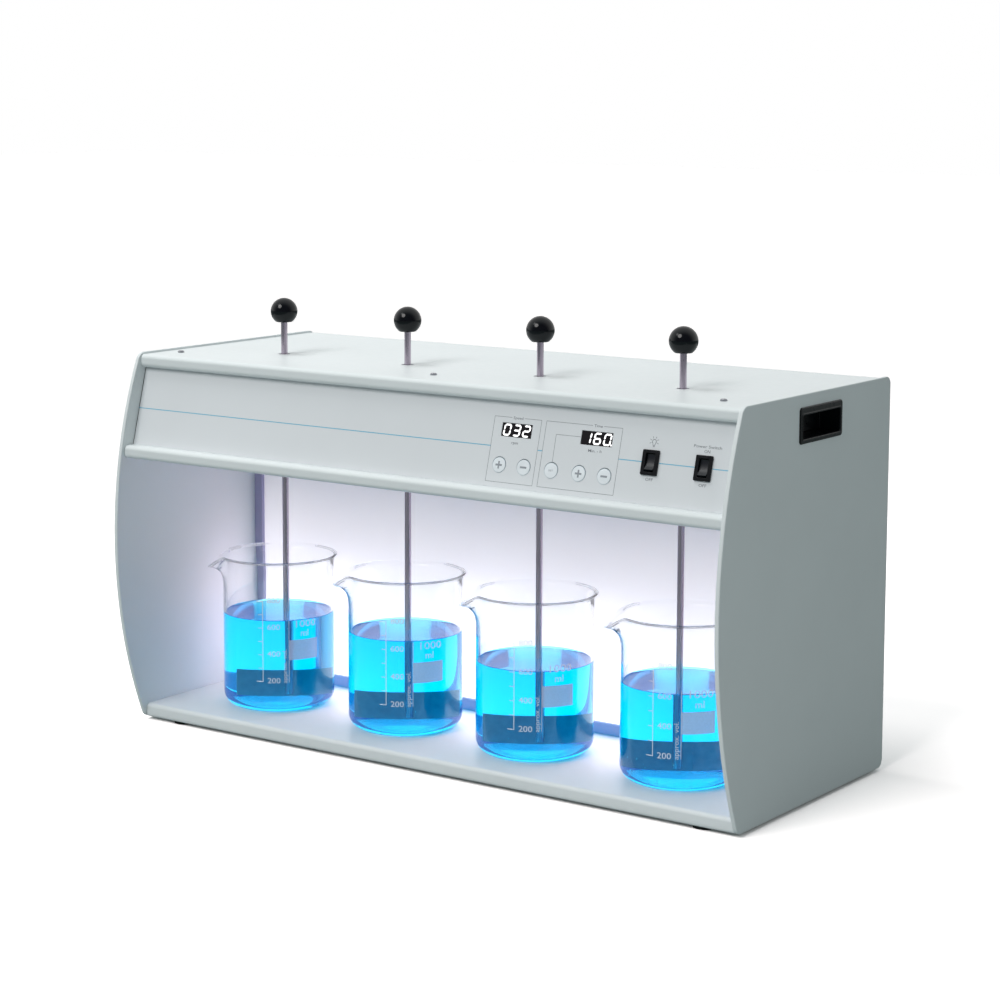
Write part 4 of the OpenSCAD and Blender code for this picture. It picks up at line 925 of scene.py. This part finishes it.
OUTLINE = 0.35
BOX_LOW, BOX_HIGH = 4.5, 59.8
LABEL_RISE = BOX_HIGH - 0.2
LINE_RISE = 34.5
LINE_WIDTH = 0.75
SWITCH_HALF = 8.2
BULB_R = 1.8
BULB_LINE = 0.45


def label_box(ink, left, right, label_x, label_half):
    """A thin outline with a gap in its top line for a label."""
    ink.path([(label_x - label_half, BOX_HIGH), (left, BOX_HIGH), (left, BOX_LOW),
              (right, BOX_LOW), (right, BOX_HIGH), (label_x + label_half, BOX_HIGH)], OUTLINE)


def lamp_icon(ink, x, y):
    """A light bulb with rays."""
    ink.ring((x, y), BULB_R, 0.55, -50, 230)
    for side in (-1, 1):
        ink.bar((x + side * 1.1, y - 1.6), (x + side * 0.8, y - 3.2), BULB_LINE)
    for rise in (3.3, 4.1):
        ink.bar((x - 0.9, y - rise), (x + 0.9, y - rise), BULB_LINE)
    for turn in range(-20, 201, 44):
        ray = Vector((math.cos(math.radians(turn)), math.sin(math.radians(turn))))
        ink.bar(tuple(Vector((x, y)) + 2.8 * ray), tuple(Vector((x, y)) + 4.5 * ray), 0.42)


def add_panel_prints():
    """Labels, outlines and the blue line on the control panel, and a painted shadow strip at its
    left end.
    """
    grey = Ink()
    label_box(grey, SPEED_X - 24, SPEED_X + 23.7, SPEED_X, 6.4)
    label_box(grey, TIME_X - 51.3, TIME_X + 23.7, TIME_X, 5.4)
    for words, x, rise, height, width in (
        ("Speed", SPEED_X, LABEL_RISE, 2.3, 9.8),
        ("rpm", SPEED_X, 38.6, 2.3, 6.6),
        ("Time", TIME_X, LABEL_RISE, 2.3, 8.2),
        ("Min. - h", TIME_X, 38.8, 2.3, 13),
        ("ON", POWER_X + 1.0, 47.8, 2.4, 5.4),
        ("OFF", POWER_X + 1.0, 20.4, 2.4, 7),
        ("Power Switch", POWER_X + 1.0, 51.6, 2.3, 26),
        ("OFF", LAMP_X + 0.9, 20.5, 2.4, 7),
    ):
        grey.text(words, (x, rise), height, width)
    grey.path([(171.1, 49.4), (SET_X - 0.2, 49.4), (SET_X, 26.6)], OUTLINE)
    lamp_icon(grey, LAMP_X + 0.7, 51.6)
    grey.build("panel_labels", fascia_print, "ink_grey", "root")
    blue = Ink()
    stops = [-FASCIA_END + 0.2, SPEED_X - 24, SPEED_X + 24, TIME_X - 51.3, TIME_X + 23.8,
             LAMP_X - SWITCH_HALF, LAMP_X + SWITCH_HALF, POWER_X - SWITCH_HALF,
             POWER_X + SWITCH_HALF, FASCIA_END - 7.2]
    for left, right in zip(stops[::2], stops[1::2]):
        blue.bar((left, LINE_RISE), (right, LINE_RISE), LINE_WIDTH)
    blue.build("panel_line", fascia_print, "ink_blue", "root")
    # A painted shadow: a dark strip along the control panel's left end, where the gap beside the
    # side panel lies in shade
    seam = Ink()
    seam.bar((0.3 - FASCIA_END, 0.5), (0.3 - FASCIA_END, FASCIA_TALL - 1), 0.55)
    seam.build("painted_seam_shadow", fascia_print, "gap_dark", "root")


# ---------- stirrers ----------

KNOB_BORE_R = 4.1 * MM
KNOB_FLAT_R = 4.6 * MM
KNOB_COUNTERSINK = 0.6 * MM


def add_knob(number):
    """A glossy ball with a small flat below."""
    node = f"knob_{number}"
    low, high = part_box(node)
    middle = centre_of(node)
    radius = (high.x - low.x) / 2
    drop = (high.z - radius) - low.z
    start = -math.degrees(math.asin(drop / radius))
    profile = [(KNOB_BORE_R, -drop + KNOB_COUNTERSINK), (KNOB_FLAT_R, -drop)]
    profile += arc((0, 0), radius, start, 89, 40)
    work = bmesh.new()
    lathe(work, profile, standing((middle.x, middle.y, high.z - radius)), 96)
    add_piece(node + "_ball", work, "knob_plastic", f"stirrer_{number}", [node])


ROD_R = 3.0 * MM
ROD_CHAMFER = 0.4 * MM
ROD_FOOT_RISE = 2.0 * MM
BLADE_W = 75.0 * MM
BLADE_H = 25.0 * MM
BLADE_T = 1.5 * MM
BLADE_TURN = math.radians(35)


def add_stirrer(number):
    """A polished rod with a flat blade let into its foot."""
    node = f"stirrer_{number}"
    low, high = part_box(node)
    middle = centre_of(node)
    work = bmesh.new()
    bmesh.ops.create_cube(work, size=1, matrix=Matrix.Diagonal((BLADE_W, BLADE_T, BLADE_H, 1)))
    work.transform(Matrix.Translation((middle.x, middle.y, low.z + BLADE_H / 2))
                   @ Matrix.Rotation(BLADE_TURN, 4, "Z"))
    soften(work, 0.3 * MM)
    for face in work.faces:
        face.material_index = 1
    foot = low.z + ROD_FOOT_RISE
    lathe(work, [(ROD_R - ROD_CHAMFER, foot), (ROD_R, foot + ROD_CHAMFER), (ROD_R, high.z)],
          standing((middle.x, middle.y, 0)), 48)
    add_piece(node + "_rod", work, ["rod_steel", "blade_steel"], node, [node])


# ---------- vessels ----------

VESSEL_R = 52.2
VESSEL_WALL = 2.2
VESSEL_FLOOR = 3.0
VESSEL_FOOT_R = 13.0
VESSEL_STEPS = 160
WALL_STEPS = 22
FLARE_STEPS = 6
RIM_FLARE = 3.9
RIM_FLARE_H = 8.0
RIM_BEAD = 1.15
RIM_BAND = 3.2
SPOUT_TURN = 213.0
SPOUT_SPREAD = 33.0
SPOUT_OUT = 12.0
SPOUT_DROP = 14.2
SPOUT_FOOT = 30.0
LEVELS = {1: 88.0, 2: 89.0, 3: 82.0, 4: 84.0}


def vessel_foot(number):
    """The middle of a vessel's foot, on the axis that it turns about."""
    axis = Vector(JOINTS[f"beaker_{number}_turn"]["pos_m"])
    return Vector((axis.x, axis.y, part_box(f"beaker_{number}")[0].z))


def vessel_profile(height):
    """The wall's section from the outer floor's middle over the rim to the inner floor."""
    foot = VESSEL_FOOT_R
    inner = VESSEL_R - VESSEL_WALL
    inner_foot = foot - VESSEL_WALL
    outside = [(1.0, 0.9), (VESSEL_R - foot - 5, 0.9), (VESSEL_R - foot - 1, 0.0)]
    outside += arc((VESSEL_R - foot, foot), foot, -90, 0, 12)
    top = height - RIM_BEAD
    low = VESSEL_FLOOR + inner_foot
    inside = []
    for step in range(1, WALL_STEPS + 1):
        share = step / WALL_STEPS
        outside.append((VESSEL_R, foot + (top - RIM_FLARE_H - foot) * share))
        inside.insert(0, (inner, low + (top - RIM_FLARE_H - low) * share))
    flare = []
    for step in range(1, FLARE_STEPS + 1):
        share = step / FLARE_STEPS
        flare.append((VESSEL_R + (RIM_FLARE - 0.9) * share ** 2,
                      top - RIM_FLARE_H + RIM_FLARE_H * share))
    bead = arc((VESSEL_R + RIM_FLARE - 1.4, top), RIM_BEAD, -25, 190, 12)
    back = [(x - VESSEL_WALL * 0.94, y) for x, y in reversed(flare)]
    inside += arc((inner - inner_foot, low), inner_foot, 0, -90, 12)
    return outside + flare + bead + back + inside + [(1.0, VESSEL_FLOOR)]


def spout_shift(turn, rise, height):
    """How far a wall point moves outwards and down for the spout, in mm."""
    off = min(1, abs((turn - SPOUT_TURN + 180) % 360 - 180) / SPOUT_SPREAD)
    near = (0.5 + 0.5 * math.cos(math.pi * off)) ** 1.3
    share = max(0.0, (rise - (height - SPOUT_FOOT)) / SPOUT_FOOT)
    return near * SPOUT_OUT * share ** 2.2, near * SPOUT_DROP * share ** 1.6


def add_beaker(number):
    """A glass vessel with a beaded rim and a drooping spout."""
    node = f"beaker_{number}"
    low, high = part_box(node)
    height = (high.z - low.z) / MM
    foot = vessel_foot(number)
    profile = vessel_profile(height)

    def place(x, y, rise):
        reach = math.hypot(x, y)
        turn = math.degrees(math.atan2(y, x))
        out, drop = spout_shift(turn, rise, height) if reach > 30 else (0, 0)
        grow = (reach + out) / reach
        return foot + Vector((grow * x, grow * y, rise - drop)) * MM

    work = bmesh.new()
    lathe(work, profile, place, VESSEL_STEPS)
    rises = [rise for radius, rise in profile]
    at_rim = [min(pair) > height - RIM_BAND for pair in zip(rises, rises[1:])] + [False]
    for count, face in enumerate(work.faces):
        face.material_index = int(at_rim[count // VESSEL_STEPS])
    add_piece(node + "_glass", work, ["beaker_glass", "rim_glass"], node,
              [node], even=False)


CREEP = 1.3


def add_liquid(number):
    """The dyed water: it reaches a hair into the glass, and creeps up the wall."""
    inner = VESSEL_R - VESSEL_WALL + 0.12
    foot = VESSEL_FOOT_R - VESSEL_WALL
    level = LEVELS[number]
    profile = [(1.0, VESSEL_FLOOR - 0.1)]
    profile += arc((inner - foot, VESSEL_FLOOR + foot - 0.1), foot, -90, 0, 12)
    profile.append((inner, level + CREEP))
    for share in (0.3, 0.8, 1.6, 3.0, 5.0):
        profile.append((inner - share, level + CREEP * math.exp(-share / 1.2)))
    profile.append((1.0, level))
    work = bmesh.new()
    lathe(work, [(x * MM, y * MM) for x, y in profile], standing(vessel_foot(number)), 128)
    add_piece(f"liquid_{number}", work, "dyed_water", f"beaker_{number}",
              even=False)


BUBBLES = {1: 36, 2: 16, 3: 60, 4: 150}


def add_bubbles(number):
    """Small bubbles on the floor, low on the wall, and a few of them near the surface."""
    rng = random.Random(100 + number)
    wall = VESSEL_R - VESSEL_WALL - 0.5
    work = bmesh.new()
    for _ in range(BUBBLES[number]):
        turn = rng.uniform(0, 2 * math.pi)
        if rng.random() < 0.25:
            rise, reach = LEVELS[number] - rng.uniform(1, 10), wall
        elif rng.random() < 0.6:
            rise, reach = VESSEL_FLOOR + 10 + rng.uniform(0, 14) ** 1.1, wall
        else:
            rise, reach = VESSEL_FLOOR + 0.6, 38 * math.sqrt(rng.random())
        spot = Vector((reach * math.cos(turn), reach * math.sin(turn), rise)) * MM
        size = rng.uniform(0.18, 0.5) * MM
        bmesh.ops.create_icosphere(work, subdivisions=1, radius=size,
                                   matrix=Matrix.Translation(vessel_foot(number) + spot))
    add_piece(f"bubbles_{number}", work, "bubble", f"beaker_{number}",
              even=False)


SCALE_TURN = {1: 293.6, 2: 288.0, 3: 284.5, 4: 274.3}
SCALE_LOW, SCALE_HIGH = 31.2, 108.0
SCALE_STEP = 12.65
SCALE_LINE = 0.75
TICK_LINE = 0.7


def add_scale(number):
    """The white scale, the volume and the write-on patch on a vessel's wall."""
    foot = vessel_foot(number)
    radius = VESSEL_R + LIFT / MM

    def on_wall(along, rise):
        turn = math.radians(SCALE_TURN[number]) + along / radius
        return foot + MM * Vector((radius * math.cos(turn), radius * math.sin(turn), rise))

    white = Ink()
    white.bar((0, SCALE_LOW), (0, SCALE_HIGH), SCALE_LINE)
    for tick in range(7):
        length = 6.2 if tick in (0, 6) else 4.4
        rise = SCALE_LOW + 0.4 + tick * SCALE_STEP
        white.bar((-length, rise), (0, rise), TICK_LINE)
    for count, words in enumerate(("200", "400", "600", "800")):
        white.text(words, (10.3, SCALE_LOW + 1.2 + 2 * count * SCALE_STEP), 5.1, width=12)
    white.text("approx. vol.", (20.7, 46.2), 4.1, width=32, turn=90)
    white.bar((24.5, 30.4), (24.5, 89), 0.5)
    white.text("1000", (41.6, 85.2), 6.4, width=21.0)
    white.text("ml", (40.0, 76.5), 6.2)
    white.build(f"scale_{number}", on_wall, "enamel", f"beaker_{number}")
    patch = Ink()
    patch.patch((24.8, 51.7), (53.9, 70.6), 16)
    patch.build(f"patch_{number}", on_wall, "write_on_patch", f"beaker_{number}")


# ---------- parts that keep their CAD shape ----------

KEPT = {
    "feet": "foot_rubber", "cover_screws": "screw_steel", "diffuser_panel": "opal_acrylic",
    "reflector": "reflector_white", "lamp_tubes": "tube_white",
    "lamp_holders": "white_plastic", "ballast": "casing_metal",
    "power_supply": "casing_metal", "bearing_deck": "deck_aluminium",
    "deck_posts": "screw_steel", "spindle_bearings": "bearing_aluminium",
    "idler_pins": "screw_steel", "motor": "motor_paint", "motor_pulley": "screw_steel",
    "drive_belt": "belt_rubber", "control_board": "board_green",
}
for index in STATIONS:
    KEPT[f"spindle_{index}"] = "spindle_steel"
    KEPT[f"pulley_{index}"] = "pulley_plastic"
    if index < len(STATIONS):
        KEPT[f"idler_{index}"] = "idler_plastic"


def paint_kept():
    """Gives each CAD node that still shows its material."""
    for node, name in KEPT.items():
        mesh = frame["nodes"][node].data
        mesh.materials.clear()
        mesh.materials.append(MATERIALS[name])


# ---------- stage and light ----------

FLOOR_HALF = 12
FLOOR_ALBEDO = (0.38, 0.43, 0.43, 1)
FLOOR_SHOWN = (2.08, 1.96, 1.95, 1)


def add_floor():
    """A white floor that keeps the object's shadow."""
    mesh = bpy.data.meshes.new("floor")
    reach = FLOOR_HALF
    mesh.from_pydata([(-reach, -reach, 0), (reach, -reach, 0), (reach, reach, 0),
                      (-reach, reach, 0)], [], [(0, 1, 2, 3)])
    floor = bpy.data.objects.new("floor", mesh)
    SCENE.collection.objects.link(floor)
    surface = bpy.data.materials.new("floor")
    nodes = Nodes(surface)
    nodes.tree.nodes.clear()
    dull = nodes.node("ShaderNodeBsdfDiffuse", {"Color": FLOOR_ALBEDO})["BSDF"]
    shown = nodes.node("ShaderNodeBsdfDiffuse", {"Color": FLOOR_SHOWN})["BSDF"]
    seen = nodes.node("ShaderNodeLightPath")["Is Camera Ray"]
    nodes.node("ShaderNodeOutputMaterial", {"Surface": nodes.mix(seen, dull, shown)})
    mesh.materials.append(surface)


SKY_LIGHT = 0.27
SKY_TINT = (0.88, 0.99, 1.0, 1)
WHITE = (1, 1, 1, 1)
ROOM_TINT = (0.15, 0.12, 0.16, 1)
ROOM_SIDE = (0.5, -0.86, -0.1)
ROOM_FADE = (-0.25, 0.6)
THROUGH_GLASS = (0.8, 0.8, 0.8, 1)


def add_world():
    """White for camera and glass, an even sky for dull skins, a darker side for gloss."""
    world = bpy.data.worlds.new("studio")
    SCENE.world = world
    nodes = Nodes(world)
    nodes.tree.nodes.clear()

    def background(colour, strength=1.0):
        return nodes.node("ShaderNodeBackground",
                          {"Color": colour, "Strength": strength})["Background"]

    path = nodes.node("ShaderNodeLightPath")
    spot = nodes.node("ShaderNodeTexCoord")["Generated"]
    toward = nodes.node("ShaderNodeVectorMath", {0: spot, 1: ROOM_SIDE},
                        operation="DOT_PRODUCT")["Value"]
    shade = nodes.spread(toward, 0, 1, ROOM_FADE, interpolation_type="SMOOTHSTEP")
    outside = nodes.maths("LESS_THAN", path["Transmission Depth"], 0.5)
    plain = nodes.blend(outside, THROUGH_GLASS, WHITE)
    room = nodes.blend(nodes.maths("MULTIPLY", shade, outside), plain, ROOM_TINT)
    indirect = nodes.mix(path["Is Glossy Ray"], background(SKY_TINT, SKY_LIGHT),
                         background(room))
    seen = nodes.maths("MAXIMUM", path["Is Camera Ray"], path["Is Transmission Ray"])
    direct = nodes.maths("GREATER_THAN", seen, path["Diffuse Depth"])
    nodes.node("ShaderNodeOutputWorld",
               {"Surface": nodes.mix(direct, indirect, background(WHITE))})


KEY_FROM = (-0.10, -0.74, 0.665)
KEY_LIGHT = 1.28
KEY_COLOUR = (1.0, 0.975, 0.965)
KEY_SOFTNESS = math.radians(28)
# Rectangular lamps: place, target, size, watts, colour, and the rays that pass them by
LAMPS = {
    "top_light": ((-0.55, -0.15, 1.75), (0, 0, 0.35), (0.9, 0.7), 10.7, EVEN, ["glossy"]),
    "glint": ((-0.75, -1.15, 1.9), (0.1, -0.05, 0.35), (0.7, 0.5), 3.0, EVEN, []),
    "fill": ((0.95, -0.45, 0.3), (0.33, -0.05, 0.17), (0.3, 0.3), 0.4, EVEN, ["glossy"]),
    "panel_glow": ((0, 0.048, 0.085), (0, -1, 0.085), (0.56, 0.11), 0.55, (1.0, 0.68, 0.82),
                   ["camera", "glossy", "transmission"]),
}


def add_light(name, kind, place, target, energy, colour):
    """A lamp at a place, turned towards a target."""
    data = bpy.data.lights.new(name, kind)
    data.energy = energy
    data.color = colour
    lamp = bpy.data.objects.new(name, data)
    lamp.location = place
    lamp.rotation_mode = "QUATERNION"
    lamp.rotation_quaternion = (Vector(place) - Vector(target)).to_track_quat("Z", "Y")
    SCENE.collection.objects.link(lamp)
    return lamp


def add_lamps():
    """A broad sun in front and above, and the rectangular lamps."""
    key = add_light("key", "SUN", KEY_FROM, (0, 0, 0), KEY_LIGHT, KEY_COLOUR)
    key.data.angle = KEY_SOFTNESS
    for name, (place, target, size, watts, colour, unseen) in LAMPS.items():
        lamp = add_light(name, "AREA", place, target, watts, colour)
        lamp.data.shape = "RECTANGLE"
        lamp.data.size, lamp.data.size_y = size
        for rays in unseen:
            setattr(lamp, "visible_" + rays, False)


# ---------- the whole scene ----------

SCENE.view_settings.view_transform = "Standard"
add_camera()
add_sheet_body()
add_screws()
add_handle(-1)
add_handle(1)
add_switches()
for button in ("speed_up", "speed_down", "set", "time_up", "time_down"):
    add_button("button_" + button)
add_displays()
add_panel_prints()
for station in STATIONS:
    add_stirrer(station)
    add_knob(station)
for station in STATIONS:
    add_beaker(station)
    add_liquid(station)
    add_bubbles(station)
    add_scale(station)
dressed("power_inlet", "black_plastic", 0.3 * MM)
paint_kept()
add_floor()
add_world()
add_lamps()
